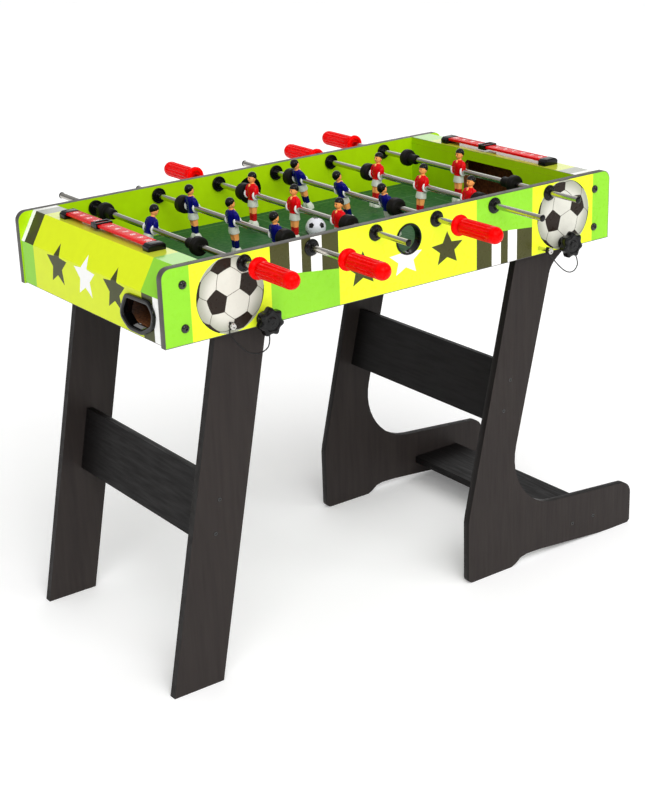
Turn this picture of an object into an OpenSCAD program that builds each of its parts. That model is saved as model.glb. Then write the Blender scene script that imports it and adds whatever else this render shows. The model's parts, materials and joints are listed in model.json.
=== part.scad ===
// Children's folding foosball table. An open cabinet holds the playing field and
// six rods of men. It stands on a straight leg frame at the left end and an L-shaped
// one at the right end, which both turn on clamp knobs in the side panels.
// X runs along the cabinet, Y across it with the front at -Y, and Z up from the floor.

/* [Cabinet] */
// Length of the side panels
cabinet_length = 914; // [910:1:918]
// Width over the side panels
cabinet_width = 469; // [467:1:471]
// Height of the cabinet's top edge above the floor
table_height = 711; // [710:1:712]
// Height of the side panels
panel_height = 122; // [120:1:124]
// Thickness of the side, end and goal boards
board = 12; // [11:0.5:12]
// Radius of the side panels' top corners
corner_radius = 16.5; // [10:0.5:20]
// Depth of the playing surface below the top edge
field_depth = 87; // [86:1:88]
// Length of the playing surface
field_length = 768; // [764:1:768]
// Thickness of the playfield board
field_thickness = 3; // [2:0.5:3]

/* [End boxes] */
// How far the end panels stand in from the ends of the side panels
end_inset = 2; // [1:0.5:3]
// How far the end panels' lower edge stands above that of the side panels
end_lift = 2.3; // [1:0.1:4]
// Height of the end panels' fold below the top edge
fold_drop = 47.5; // [40:0.5:50]
// How far the end panels lean in above the fold
fold_lean = 27; // [20:1:30]
// Width of each goal mouth
goal_width = 140; // [120:2:150]
// Height of each goal mouth above the playing surface
goal_height = 68.5; // [60:0.5:70]
// How far the goal walls' lower edge stands above that of the end panels
goal_lift = 3; // [2:0.5:6]
// Chamfer of the goal mouth's upper corners
goal_chamfer = 10; // [5:1:15]
// Width of the rim round each ball return port
port_rim = 8; // [6:0.5:9]

/* [Rods] */
// Distance from rod to rod
rod_pitch = 125; // [125:0.5:126]
// Depth of the rods' axes below the top edge
rod_depth = 17; // [16:0.5:18]
// Diameter of the rods
rod_diameter = 10; // [9:0.5:10]
// Radial play of the rods in their bushings and of the studs in their holes
running_play = 0.05; // [0.02:0.01:0.1]
// Diameter of the bushing flanges
bushing_diameter = 27; // [24:1:28]
// Distance between the men on a rod
man_spacing = 126; // [120:1:126]
// Distance of each rubber bumper from the middle of its rod
bumper_at = 150; // [149:1:150]
// Diameter of the rubber bumpers
bumper_diameter = 31; // [28:1:32]
// Distance from the middle of a rod to the flange of its handle
handle_at = 309; // [306:1:312]
// Length of each handle
handle_length = 101; // [96:1:104]
// Distance from the middle of a rod to its bare end
bare_end_at = 304; // [302:1:306]

/* [Leg frames] */
// Thickness of the leg boards, stretchers and shelf
leg_board = 14; // [12:0.5:15]
// Gap between the leg boards and the side panels
leg_gap = 0.4; // [0.3:0.1:0.6]
// Lean of the left frame's legs
left_lean = 11.2; // [11:0.1:11.4]
// Width of the left frame's legs
left_leg_width = 92; // [88:1:94]
// Distance from the left knob's axis to the inner edge of the leg
left_leg_edge = 18.9; // [18:0.1:19]
// Radius of the right frame's inner curve, where leg turns into foot
foot_curve = 111; // [108:1:113]
// Diameter of the clamp knobs' studs
stud_diameter = 8; // [6:1:8]
// Diameter of the clamp knobs over their lobes
knob_diameter = 46; // [44:1:48]
// Diameter of the lock pins
pin_diameter = 6; // [5:0.5:6]

/* [Fittings] */
// Diameter of the ball
ball_diameter = 36; // [34:1:36]
// Inner diameter of the serve rings
serve_diameter = 46; // [44:1:47]
// Length of each score counter
counter_length = 284; // [270:2:290]
// Diameter of the tether cords
tether_diameter = 2; // [1.6:0.1:2.2]

/* [Hidden] */
RODS = [1:6];
$fn = 48;

// Cabinet levels and faces
half_length = cabinet_length / 2;
half_width = cabinet_width / 2;
inner_y = half_width - board;
panel_bottom = table_height - panel_height;
field_z = table_height - field_depth;
field_end = field_length / 2;
rod_z = table_height - rod_depth;
end_face = half_length - end_inset;
end_bottom = panel_bottom + end_lift;
fold_z = table_height - fold_drop;
goal_back = field_end + board;
goal_bottom = end_bottom + goal_lift;

// Small fittings
bushing_tube = 8;
bushing_flange = 5;
serve_at = [4, table_height - 40];
serve_wall = 1.5;
serve_rim = 3;
serve_flange = 2.5;
bolt_at = [[421, table_height - 29], [421, table_height - 96.5]];
bolt_head = 7;
bolt_dome = 4;
bolt_shank = 2.5;
block_depth = 18;
trough_high_y = 78;
trough_drop = 18;

// Ball return port of the left end, as an outline in Y and Z
port_outline = [
    [-109, table_height - 85], [-127, table_height - 57], [-197, table_height - 55],
    [-212, table_height - 74], [-204, table_height - 99], [-172, table_height - 115],
    [-131, table_height - 115], [-108, table_height - 99]
];

// Rods: the side the handle is on, how far the rod is slid, and how the men are turned
handle_side = [-1, -1, 1, -1, 1, 1];
rod_slid = [39, -14, -13, 21, -46, 0];
rod_turned = [19, -5.3, 1, -17.6, 7, 3.5];
rod_facing = [1, 1, -1, 1, -1, -1];
flange_radius = 17.5;
flange_length = 10;
grip_radius = 14;
bar_in_handle = 86;
bumper_hub = 21;
bumper_hub_radius = 9;
cap_radius = 6.2;
cap_length = 2;
cap_dome = 3.5;

// Men, about the axis of their rod and facing +X
man_head_z = 30.5;
man_head = 9.4;
man_foot_z = -60;

// Clamp knobs and lock pins on the side panels
pivot_z = table_height - 110;
left_knob = [-285, pivot_z];
right_knob = [345, pivot_z];
left_pin = [-340, pivot_z];
right_pin = [291, pivot_z];
knob_neck = 10;
knob_back = 15;
knob_front = 30;
knob_lobes = 7;
pin_head = 5.3;
left_pin_out = 2.5;
right_pin_out = 26;
pin_head_length = 4.5;
ring_width = 2.5;
pin_ring_radius = 5.8;
knob_ring_radius = 12.4;

// Leg frames
foot_tip = 552;
leg_out = inner_y - leg_gap;
leg_in = leg_out - leg_board;
head_radius = 19;
left_stretch = [237, 345];
right_stretch = [288, 396];
right_lean = 13;
shelf_x = [371, 481];
shelf_z = 35;
left_screws = [[-372, 319], [-383, 263]];
right_screws = [[238.5, 369], [223.7, 314], [399, 42], [453, 42]];
screw_radius = 1.8;
screw_head = 3.75;
screw_length = 34;
nut_radius = 9;
nut_flange = 1.6;
nut_barrel = 5;

// X of the left legs' inner edge at height z, and the legs' width along X
left_run = left_leg_width / cos(left_lean);
function left_edge(z) = left_knob.x + left_leg_edge / cos(left_lean) - (pivot_z - z) * tan(left_lean);

// The table is drawn about the middle of the cabinet, then moved along X so that its
// origin lies midway between the tip of the right foot and the heel of the left leg.
cabinet_x = -(foot_tip + left_edge(0) - left_run) / 2;

// Routes of the front tethers, from the lock pin to the neck of the clamp knob
left_route = [
    [-344, -236, 598], [-346, -238, 590], [-341, -239, 581], [-331, -240, 569],
    [-319, -240, 556.5], [-304, -240, 549.5], [-289.5, -240, 549], [-279, -240, 555],
    [-276, -240, 566], [-276, -239.5, 578], [-279.5, -239.5, 589.5]
];
right_route = [
    [291, -259, 596], [298, -257, 588.5], [310, -254, 578], [325, -251, 564.5],
    [339, -249, 554], [353, -247, 548], [366, -245, 548.5], [375, -243, 556],
    [374.5, -242, 567], [368, -240.5, 580], [354, -239.5, 592.5]
];

// ---- Placing and drawing helpers ----

module place() translate([cabinet_x, 0, 0]) children();

// An outline in X and Z, made solid from y0 to y1
module slab(y0, y1) translate([0, y1, 0]) rotate([90, 0, 0]) linear_extrude(y1 - y0) children();

// An outline in Y and Z, made solid from x0 to x1
module slab_x(x0, x1) translate([x0, 0, 0]) rotate([90, 0, 90]) linear_extrude(x1 - x0) children();

// A cylinder along Y at [x, z], from y0 to y1
module along_y(at, y0, y1, r) translate([at.x, y1, at.y]) rotate([90, 0, 0]) cylinder(r = r, h = y1 - y0);

// A block between two corners
module block(low, high) translate(low) cube(high - low);

module front_and_back() {
    children();
    mirror([0, 1, 0]) children();
}

module both_ends() {
    children();
    rotate([0, 0, 180]) children();
}

function rod_x(k) = (k - 3.5) * rod_pitch;
function unit(v) = v / norm(v);
function right_of(v) = [v.y, -v.x];

// Corner p moved to the right by d, between edges that run along a and then b
function mitre(p, a, b, d) = let (m = right_of(unit(a)), n = right_of(unit(b))) p + d * (m + n) / (1 + m * n);

// A closed anticlockwise outline drawn in by d
function drawn_in(p, d) = let (n = len(p)) [
    for (i = [0:n - 1])
        mitre(p[i], p[i] - p[(i + n - 1) % n], p[(i + 1) % n] - p[i], -d)
];
function arc(c, r, from, to, steps) = [
    for (i = [0:steps]) let (a = from + (to - from) * i / steps) c + r * [cos(a), sin(a)]
];

// ---- Cabinet ----

module side_outline() {
    difference() {
        union() {
            translate([-half_length, panel_bottom]) square([cabinet_length, panel_height - corner_radius]);
            translate([corner_radius - half_length, panel_bottom])
                square([cabinet_length - 2 * corner_radius, panel_height]);
            for (s = [-1, 1])
                translate([s * (half_length - corner_radius), table_height - corner_radius]) circle(corner_radius);
        }
        for (k = RODS) translate([rod_x(k), rod_z]) circle(bushing_tube);
        translate(serve_at) circle(serve_diameter / 2 + serve_wall);
        for (p = [left_knob, right_knob]) translate(p) circle(stud_diameter / 2 + running_play);
        for (p = [left_pin, right_pin]) translate(p) circle(pin_diameter / 2);
        for (p = bolt_at, s = [-1, 1]) translate([s * p.x, p.y]) circle(bolt_shank);
    }
}

module front_side_panel() place() color("yellowgreen") slab(-half_width, -inner_y) side_outline();
module back_side_panel() place() color("yellowgreen") slab(inner_y, half_width) side_outline();

// Outer and inner lines of the left end panel's folded board, from the bottom up
end_line = [
    [-end_face, end_bottom], [-end_face, fold_z],
    [fold_lean - end_face, table_height], [-field_end, table_height]
];
end_inner = [
    end_line[0] + [board, 0],
    mitre(end_line[1], end_line[1] - end_line[0], end_line[2] - end_line[1], board),
    mitre(end_line[2], end_line[2] - end_line[1], end_line[3] - end_line[2], board),
    end_line[3] - [0, board]
];

module end_panel() {
    difference() {
        slab(-inner_y, inner_y) polygon(concat(end_line, [end_inner[3], end_inner[2], end_inner[1], end_inner[0]]));
        slab_x(-end_face - 1, board - end_face + 1) polygon(drawn_in(port_outline, port_rim - 3));
    }
}

module left_end_panel() place() color("greenyellow") end_panel();
module right_end_panel() place() color("greenyellow") rotate([0, 0, 180]) end_panel();

module goal_walls() {
    place() color("yellowgreen") both_ends() slab_x(-goal_back, -field_end) difference() {
        translate([-inner_y, goal_bottom]) square([2 * inner_y, table_height - board - goal_bottom]);
        polygon([
            [-goal_width / 2, field_z], [goal_width / 2, field_z],
            [goal_width / 2, field_z + goal_height - goal_chamfer],
            [goal_width / 2 - goal_chamfer, field_z + goal_height],
            [goal_chamfer - goal_width / 2, field_z + goal_height],
            [-goal_width / 2, field_z + goal_height - goal_chamfer]
        ]);
    }
}

module playfield() {
    place() color("darkgreen")
        block([-field_end, -inner_y, field_z - field_thickness], [field_end, inner_y, field_z]);
}

// Battens under the playfield: one along each goal wall and two down its length
module field_supports() {
    top = field_z - field_thickness;
    bottom = top - 18;
    place() color("burlywood") {
        both_ends() block([-field_end, -200, bottom], [board - field_end, 200, top]);
        front_and_back() block([board - field_end, 100, bottom], [field_end - board, 100 + board, top]);
    }
}

// Space between a goal wall and its end panel, as an outline in X and Z
module end_box_outline() polygon([
    [-goal_back, end_bottom], [-goal_back, table_height - board], end_inner[2], end_inner[1], end_inner[0]
]);

// Blocks that the panel bolts screw into
module corner_blocks() {
    place() color("burlywood") both_ends() front_and_back() difference() {
        slab(inner_y - block_depth, inner_y) end_box_outline();
        for (p = bolt_at) along_y([-p.x, p.y], inner_y - block_depth + 4, inner_y + 1, bolt_shank);
    }
}

// Sloping floor from the goal mouth down to the return port, with a stop at its high end
module ball_troughs() {
    high = field_z - field_thickness;
    low_y = block_depth - inner_y;
    place() color("peru") both_ends() {
        slab_x(board - end_face, -goal_back) polygon([
            [trough_high_y, high], [low_y, high - trough_drop],
            [low_y, high - trough_drop - 3], [trough_high_y, high - 3]
        ]);
        slab(trough_high_y, trough_high_y + 6) end_box_outline();
    }
}

module return_ports() {
    place() color("black") both_ends() difference() {
        union() {
            slab_x(-end_face - 5, -end_face) polygon(port_outline);
            slab_x(-end_face, board - end_face) polygon(drawn_in(port_outline, port_rim - 3));
        }
        slab_x(-end_face - 6, board - end_face + 1) polygon(drawn_in(port_outline, port_rim));
    }
}

// A ring for a serve hole of the front panel, its flange floor_depth thick inside the bore
module serve_ring(floor_depth) difference() {
    union() {
        along_y(serve_at, -half_width - serve_flange, -half_width, serve_diameter / 2 + serve_rim);
        along_y(serve_at, -half_width, -inner_y, serve_diameter / 2 + serve_wall);
    }
    along_y(serve_at, -half_width - serve_flange - 1 + floor_depth, 1 - inner_y, serve_diameter / 2);
}

// The ball is served at the front, and a closed fitting blanks the back panel's hole
module serve_rings() {
    place() color("black") {
        serve_ring(0);
        mirror([0, 1, 0]) serve_ring(serve_flange + 1);
    }
}

// Each bushing is an outer flange with its tube, and a ring inside the panel
module rod_bushings() {
    bore = rod_diameter / 2 + running_play;
    place() color("black") for (k = RODS) front_and_back() {
        at = [rod_x(k), rod_z];
        difference() {
            union() {
                along_y(at, half_width, half_width + bushing_flange, bushing_diameter / 2);
                along_y(at, inner_y, half_width, bushing_tube);
            }
            along_y(at, inner_y - 1, half_width + bushing_flange + 1, bore);
        }
        difference() {
            along_y(at, inner_y - bushing_flange, inner_y, bushing_diameter / 2);
            along_y(at, inner_y - bushing_flange - 1, inner_y + 1, bore);
        }
    }
}

// Domed head of a panel bolt, its flat side on y = 0 and pointing to -Y
module bolt_dome() {
    r = (bolt_head ^ 2 + bolt_dome ^ 2) / (2 * bolt_dome);
    rotate([90, 0, 0]) intersection() {
        translate([0, 0, bolt_dome - r]) sphere(r);
        cylinder(r = bolt_head, h = bolt_dome + 1);
    }
}

module panel_bolts() {
    place() color("black") front_and_back() for (p = bolt_at, s = [-1, 1]) {
        translate([s * p.x, -half_width, p.y]) bolt_dome();
        along_y([s * p.x, p.y], -half_width, block_depth - inner_y - 4, bolt_shank);
    }
}

// ---- Score counters ----

counter_x = 405.5;
bar_low = table_height + 6.5;
bar_high = table_height + 11;
bar_half = 12;
cap_half = 16;
cap_run = 18;

module counter_bar() block(
    [-bar_half, 10 - counter_length / 2, bar_low], [bar_half, counter_length / 2 - 10, bar_high]
);

module score_counters() {
    place() color("red") for (s = [-1, 1]) translate([s * counter_x, 0, 0]) {
        counter_bar();
        front_and_back() difference() {
            slab(counter_length / 2 - cap_run, counter_length / 2) polygon([
                [-cap_half, table_height], [cap_half, table_height], [cap_half, table_height + 8],
                [cap_half - 5, table_height + 12], [5 - cap_half, table_height + 12],
                [-cap_half, table_height + 8]
            ]);
            counter_bar();
        }
    }
}

// A sleeve round the bar, with a window over the numbers
module score_slider(side) {
    play = 0.4;
    place() color("black") translate([side * counter_x, 28, 0]) difference() {
        block([-15, -9, bar_low - 2.5], [15, 9, bar_high + 2.5]);
        block([-bar_half - play, -10, bar_low - play], [bar_half + play, 10, bar_high + play]);
        block([-11, -4.5, bar_high], [11, 4.5, bar_high + 3]);
    }
}

// ---- Ball ----

module ball() place() color("white") translate([0, 15, field_z + ball_diameter / 2]) sphere(d = ball_diameter);

// ---- Rods ----

// Moves children from a rod's own middle to its place, with the handle along +Y
module rod_place(k) {
    place() translate([rod_x(k), rod_slid[k - 1], rod_z])
        mirror([0, handle_side[k - 1] > 0 ? 0 : 1, 0]) children();
}

module rod_bar(k) {
    rod_place(k) color("silver") along_y([0, 0], -bare_end_at, handle_at + bar_in_handle, rod_diameter / 2);
}

module handle() {
    tip = handle_length;
    difference() {
        translate([0, handle_at, 0]) rotate([-90, 0, 0]) union() {
            cylinder(r = flange_radius, h = flange_length);
            cylinder(r = grip_radius, h = tip - grip_radius + 4);
            translate([0, 0, tip - grip_radius]) intersection() {
                sphere(grip_radius);
                cylinder(r = grip_radius, h = grip_radius);
            }
        }
        along_y([0, 0], handle_at - 1, handle_at + bar_in_handle, rod_diameter / 2);
    }
}

module rod_handle(k) rod_place(k) color("red") handle();

// Rubber bumpers, the goalkeeper's shorter and with a hub, and the cap on the bare end
module rod_bumpers(k) {
    bore = rod_diameter / 2 + running_play;
    keeper = k == 1 || k == 6;
    inner = bumper_at - (keeper ? 10 : 9);
    outer = bumper_at + (keeper ? 4.5 : 11);
    rod_place(k) color("black") {
        front_and_back() difference() {
            union() {
                along_y([0, 0], inner, outer, bumper_diameter / 2);
                if (keeper) along_y([0, 0], inner - bumper_hub, inner + 1, bumper_hub_radius);
            }
            along_y([0, 0], inner - bumper_hub - 1, outer + 1, bore);
        }
        difference() {
            along_y([0, 0], -bare_end_at - cap_dome, cap_length - bare_end_at, cap_radius);
            along_y([0, 0], -bare_end_at - running_play, cap_length + 1 - bare_end_at, bore);
        }
    }
}

module man() {
    difference() {
        union() {
            slab(-10, 10) polygon([[-8, -8], [8.5, -8], [9, 10], [6, 20], [-6, 20], [-8.5, 10]]);
            along_y([0, 0], -13, 13, 8);
            slab(-9.5, 9.5) polygon([[-8, -21], [8, -21], [8.5, -8], [-8, -8]]);
            slab(-7, 7) polygon([[-4, -46], [4, -46], [5.5, -21], [-5.5, -21]]);
            slab(-11, 11) polygon([[-5, man_foot_z], [5, man_foot_z], [7, -54], [5, -46], [-5, -46], [-7, -54]]);
            cylinder(r = 4.5, h = man_head_z);
            translate([0, 0, man_head_z]) sphere(man_head);
        }
        along_y([0, 0], -14, 14, rod_diameter / 2);
    }
}

module rod_men(k) {
    places = k == 1 || k == 6 ? [0] : [-man_spacing, 0, man_spacing];
    place() color(rod_facing[k - 1] > 0 ? "navy" : "crimson") translate([rod_x(k), rod_slid[k - 1], rod_z])
        for (y = places) translate([0, y, 0])
            rotate([0, rod_turned[k - 1], 0])
                mirror([rod_facing[k - 1] > 0 ? 0 : 1, 0, 0]) man();
}

// ---- Leg frames ----

module left_leg_outline() {
    shoulder = pivot_z + 10;
    difference() {
        union() {
            polygon([
                [left_edge(0) - left_run, 0], [left_edge(0), 0],
                left_knob + left_leg_edge * [cos(left_lean), -sin(left_lean)],
                left_knob + left_leg_edge * [0, 1], [left_edge(shoulder) - left_run + 14, shoulder],
                [left_edge(shoulder - 12) - left_run, shoulder - 12]
            ]);
            translate(left_knob) circle(left_leg_edge);
        }
        translate(left_knob) circle(stud_diameter / 2 + running_play);
        translate(left_pin) circle(pin_diameter / 2 + 0.3);
    }
}

// A screw in from the front face of a frame, its head flush with the board
module screw(at) {
    along_y(at, -leg_out, 2 - leg_out, screw_head);
    along_y(at, -leg_out + 2, screw_length - leg_out, screw_radius);
}

module left_leg_front() {
    place() color("dimgray") difference() {
        slab(-leg_out, -leg_in) left_leg_outline();
        for (p = left_screws) screw(p);
    }
}

module left_leg_back() {
    place() color("dimgray") mirror([0, 1, 0]) difference() {
        slab(-leg_out, -leg_in) left_leg_outline();
        for (p = left_screws) screw(p);
    }
}

// A board across a frame, on a line through p that leans by a, from height z[0] to z[1]
module stretcher(p, a, z, screws) {
    difference() {
        slab(-leg_in, leg_in) translate(p) rotate(-a)
            translate([-leg_board / 2, (z[0] - p.y) / cos(a)]) square([leg_board, (z[1] - z[0]) / cos(a)]);
        for (q = screws) front_and_back() screw(q);
    }
}

module left_stretcher() {
    place() color("dimgray")
        stretcher([left_edge(pivot_z) - left_run / 2, pivot_z], left_lean, left_stretch, left_screws);
}

// Screws of a frame and the nuts that its knobs' studs turn in
module frame_fasteners(screws, pivot) {
    place() color("silver") front_and_back() {
        for (p = screws) screw(p);
        difference() {
            union() {
                along_y(pivot, -leg_in, nut_flange - leg_in, nut_radius);
                along_y(pivot, nut_flange - leg_in, nut_barrel - leg_in, nut_radius - 3);
            }
            along_y(pivot, -leg_in - 1, nut_barrel - leg_in + 1, stud_diameter / 2 + running_play);
        }
    }
}

module left_frame_fasteners() frame_fasteners(left_screws, left_knob);

// The L-shaped leg: heel, arched sole, toe, inner curve, and the head round the knob
module right_leg_outline() {
    curve = [362, 214];
    difference() {
        union() {
            polygon(concat(
                arc([152, 10], 10, 180, 270, 4),
                [[246, 0], [257, 5], [268, 13], [283, 16], [316, 15], [470, 1.2], [500, 0]],
                [[foot_tip - 5, 0], [foot_tip, 5]],
                arc([foot_tip - 26, 62], 26, 0, 76, 5),
                arc(curve, foot_curve, 264, 166, 12),
                [[327, 542.5]],
                arc([371, 534], 45, 168, 124, 4),
                [[359, pivot_z - 20], [362.5, pivot_z - 10], right_knob + head_radius * [cos(10), sin(10)]],
                [right_knob + [0, head_radius], right_pin + [0, 10], [280, 600], [253, 592], [249.5, 588]],
                [[144.3, 132.4], [142, 118]]
            ));
            translate(right_knob) circle(head_radius);
        }
        translate(right_knob) circle(stud_diameter / 2 + running_play);
        translate(right_pin) circle(pin_diameter / 2 + 0.3);
    }
}

module right_leg_front() {
    place() color("dimgray") difference() {
        slab(-leg_out, -leg_in) right_leg_outline();
        for (p = right_screws) screw(p);
    }
}

module right_leg_back() {
    place() color("dimgray") mirror([0, 1, 0]) difference() {
        slab(-leg_out, -leg_in) right_leg_outline();
        for (p = right_screws) screw(p);
    }
}

module right_stretcher() {
    place() color("dimgray") stretcher([231, 341.5], right_lean, right_stretch, [right_screws[0], right_screws[1]]);
}

module foot_shelf() {
    place() color("dimgray") difference() {
        block([shelf_x[0], -leg_in, shelf_z], [shelf_x[1], leg_in, shelf_z + leg_board]);
        for (i = [2, 3]) front_and_back() screw(right_screws[i]);
    }
}

module right_frame_fasteners() frame_fasteners(right_screws, right_knob);

// ---- Clamp knobs, lock pins and tethers ----

// A knob on the front panel at p, with its stud through panel and leg
module clamp_knob(p) {
    lobe = 7;
    reach = knob_diameter / 2 - lobe;
    difference() {
        union() {
            along_y(p, -half_width - knob_back, -half_width, knob_neck);
            slab(-half_width - knob_front, -half_width - knob_back) translate(p) {
                circle(reach + 3);
                for (i = [0:knob_lobes - 1]) rotate(i * 360 / knob_lobes + 90) translate([reach, 0]) circle(lobe);
            }
        }
        along_y(p, -half_width - knob_front + 5, 1 - half_width, stud_diameter / 2);
    }
    along_y(p, -half_width - knob_front + 5, nut_barrel + 1 - leg_in, stud_diameter / 2);
}

module knob_front_left() place() color("black") clamp_knob(left_knob);
module knob_front_right() place() color("black") clamp_knob(right_knob);
module knob_back_left() place() color("black") mirror([0, 1, 0]) clamp_knob(left_knob);
module knob_back_right() place() color("black") mirror([0, 1, 0]) clamp_knob(right_knob);

// A pin whose head's underside stands out from the front panel
module lock_pin(p, out) {
    along_y(p, -half_width - out, -inner_y, pin_diameter / 2);
    along_y(p, -half_width - out - pin_head_length, -half_width - out, pin_head);
}

module lock_pins() {
    place() color("silver") front_and_back() {
        lock_pin(left_pin, left_pin_out);
        lock_pin(right_pin, right_pin_out);
    }
}

// Ends of the tethers: a ring on each pin, and a larger one round each knob's neck
module ring(p, y, width, inner, outer) difference() {
    along_y(p, y, y + width, outer);
    along_y(p, y - 1, y + width + 1, inner);
}

module tether_rings() {
    place() color("black") front_and_back() {
        ring(left_pin, -half_width - left_pin_out, ring_width, pin_diameter / 2, pin_ring_radius);
        ring(right_pin, -half_width - right_pin_out, 2 * ring_width, pin_diameter / 2, pin_ring_radius);
        for (p = [left_knob, right_knob])
            ring(p, -half_width - 6.2, ring_width, knob_neck + 0.4, knob_ring_radius);
    }
}

// A smooth line through the points of a route, with a point midway between each two
function route_line(p) = [
    for (i = [0:len(p) - 2], t = [0, 0.5])
        let (a = p[max(i - 1, 0)], b = p[i], c = p[i + 1], d = p[min(i + 2, len(p) - 1)])
        t == 0 ? b : (9 * (b + c) - a - d) / 16,
    p[len(p) - 1]
];

// A tube of eight sides swept along a line that bends mostly in a plane facing Y
module cord(line, r) {
    sides = 8;
    n = len(line);
    rings = [
        for (i = [0:n - 1])
            let (t = unit(line[min(i + 1, n - 1)] - line[max(i - 1, 0)]))
            let (u = unit(cross([0, 1, 0], t)), v = cross(t, u))
            for (j = [0:sides - 1]) line[i] + r * (cos(j * 45) * u + sin(j * 45) * v)
    ];
    walls = [
        for (i = [0:n - 2], j = [0:sides - 1])
            [i * sides + j, i * sides + (j + 1) % sides, (i + 1) * sides + (j + 1) % sides, (i + 1) * sides + j]
    ];
    ends = [[for (j = [0:sides - 1]) sides - 1 - j], [for (j = [0:sides - 1]) (n - 1) * sides + j]];
    polyhedron(rings, concat(walls, ends));
}

module tether(route) color("black") cord(route_line(route), tether_diameter / 2);
module tether_front_left() place() tether(left_route);
module tether_front_right() place() tether(right_route);
module tether_back_left() place() mirror([0, 1, 0]) tether(left_route);
module tether_back_right() place() mirror([0, 1, 0]) tether(right_route);

front_side_panel();
back_side_panel();
left_end_panel();
right_end_panel();
goal_walls();
playfield();
field_supports();
corner_blocks();
ball_troughs();
return_ports();
serve_rings();
rod_bushings();
panel_bolts();
score_counters();
lock_pins();
tether_rings();
tether_front_left();
tether_front_right();
tether_back_left();
tether_back_right();
score_slider(-1);  // left_score_slider
score_slider(1);  // right_score_slider
ball();
for (k = RODS) {
    rod_bar(k);
    rod_men(k);
    rod_handle(k);
    rod_bumpers(k);
}
left_leg_front();
left_leg_back();
left_stretcher();
left_frame_fasteners();
right_leg_front();
right_leg_back();
right_stretcher();
foot_shelf();
right_frame_fasteners();
knob_front_left();
knob_front_right();
knob_back_left();
knob_back_right();
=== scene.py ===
import json
import math
import bmesh
import bpy
from mathutils import Matrix, Vector
from mathutils.geometry import delaunay_2d_cdt

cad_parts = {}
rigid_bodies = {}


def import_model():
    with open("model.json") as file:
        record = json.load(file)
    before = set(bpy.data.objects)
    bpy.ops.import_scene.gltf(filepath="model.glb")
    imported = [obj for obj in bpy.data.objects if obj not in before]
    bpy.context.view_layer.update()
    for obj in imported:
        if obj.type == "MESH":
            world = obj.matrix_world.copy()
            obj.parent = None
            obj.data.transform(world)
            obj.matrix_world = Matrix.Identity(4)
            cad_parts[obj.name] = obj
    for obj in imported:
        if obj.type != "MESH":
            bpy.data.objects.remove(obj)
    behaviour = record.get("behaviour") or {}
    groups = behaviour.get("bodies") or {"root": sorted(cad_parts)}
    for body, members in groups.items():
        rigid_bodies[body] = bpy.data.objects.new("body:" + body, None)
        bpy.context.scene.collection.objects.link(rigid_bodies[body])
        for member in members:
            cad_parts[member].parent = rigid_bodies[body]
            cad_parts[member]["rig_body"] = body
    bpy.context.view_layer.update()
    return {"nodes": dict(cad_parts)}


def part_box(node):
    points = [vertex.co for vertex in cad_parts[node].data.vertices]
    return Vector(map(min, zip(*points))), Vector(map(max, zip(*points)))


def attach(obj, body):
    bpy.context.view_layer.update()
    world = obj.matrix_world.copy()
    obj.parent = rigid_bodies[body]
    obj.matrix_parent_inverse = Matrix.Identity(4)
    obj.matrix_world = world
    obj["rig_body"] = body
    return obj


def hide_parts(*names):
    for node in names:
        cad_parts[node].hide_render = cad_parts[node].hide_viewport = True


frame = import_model()

# ---- Sizes ----
# Every length below is in millimetres, in the table's own frame: X = 0 is the middle of
# the cabinet, Y = 0 the middle of its width and Z = 0 the floor.

MM = 0.001
CABINET_X = sum(corner.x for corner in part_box("playfield")) / 2


def to_row(point):
    """A point of the table's frame, in millimetres, moved to the row frame in metres."""
    return Vector(point) * MM + Vector((CABINET_X, 0, 0))


def node_box(node):
    """Lowest and highest corner of a CAD node, in the table's frame."""
    return [(corner - Vector((CABINET_X, 0, 0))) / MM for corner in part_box(node)]


panel_low, panel_high = node_box("front_side_panel")
HALF_LENGTH = panel_high.x
HALF_WIDTH = -panel_low.y
INNER_Y = -panel_high.y
PANEL_BOTTOM = panel_low.z
TABLE_HEIGHT = panel_high.z
PANEL_CORNER = 16.5
FIELD_END = node_box("playfield")[1].x
FIELD_Z = node_box("playfield")[1].z
END_FACE = -node_box("left_end_panel")[0].x
END_BOTTOM = node_box("left_end_panel")[0].z
FOLD_Z = TABLE_HEIGHT - 47.5
FOLD_LEAN = 27

RODS = range(6)
ROD_X = [(k - 2.5) * 125 for k in RODS]
ROD_Z = TABLE_HEIGHT - 17
ROD_RADIUS = 5
BORE = ROD_RADIUS + 0.05
HANDLE_SIDE = [-1, -1, 1, -1, 1, 1]
ROD_SLID = [39, -14, -13, 21, -46, 0]
ROD_TURNED = [19, -5.3, 1, -17.6, 7, 3.5]
ROD_FACING = [1, 1, -1, 1, -1, -1]
MAN_PLACES = [[0] if k in (0, 5) else [-126, 0, 126] for k in RODS]
BARE_END_AT = 304
HANDLE_AT = 309
HANDLE_LENGTH = 101
BUMPER_AT = 150

SERVE_AT = (4, TABLE_HEIGHT - 40)
BOLTS = [(side * 421, TABLE_HEIGHT - drop) for side in (-1, 1) for drop in (29, 96.5)]
PIVOT_Z = TABLE_HEIGHT - 110
KNOBS = {"left": (-285, PIVOT_Z), "right": (345, PIVOT_Z)}
PINS = {"left": (-340, PIVOT_Z), "right": (291, PIVOT_Z)}
PIN_STANDS_OUT = {"left": 2.5, "right": 26}
PIN_HEAD_LENGTH = 4.5
PIN_RADIUS = 3

# ---- Camera ----

CAMERA_AT = (-1591.1, -2214.9, 1370.2)
CAMERA_FORWARD = (0.54235, 0.75956, -0.35907)
CAMERA_ROLL = math.radians(-2.047)
CAMERA_LENS = 72.83


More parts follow.
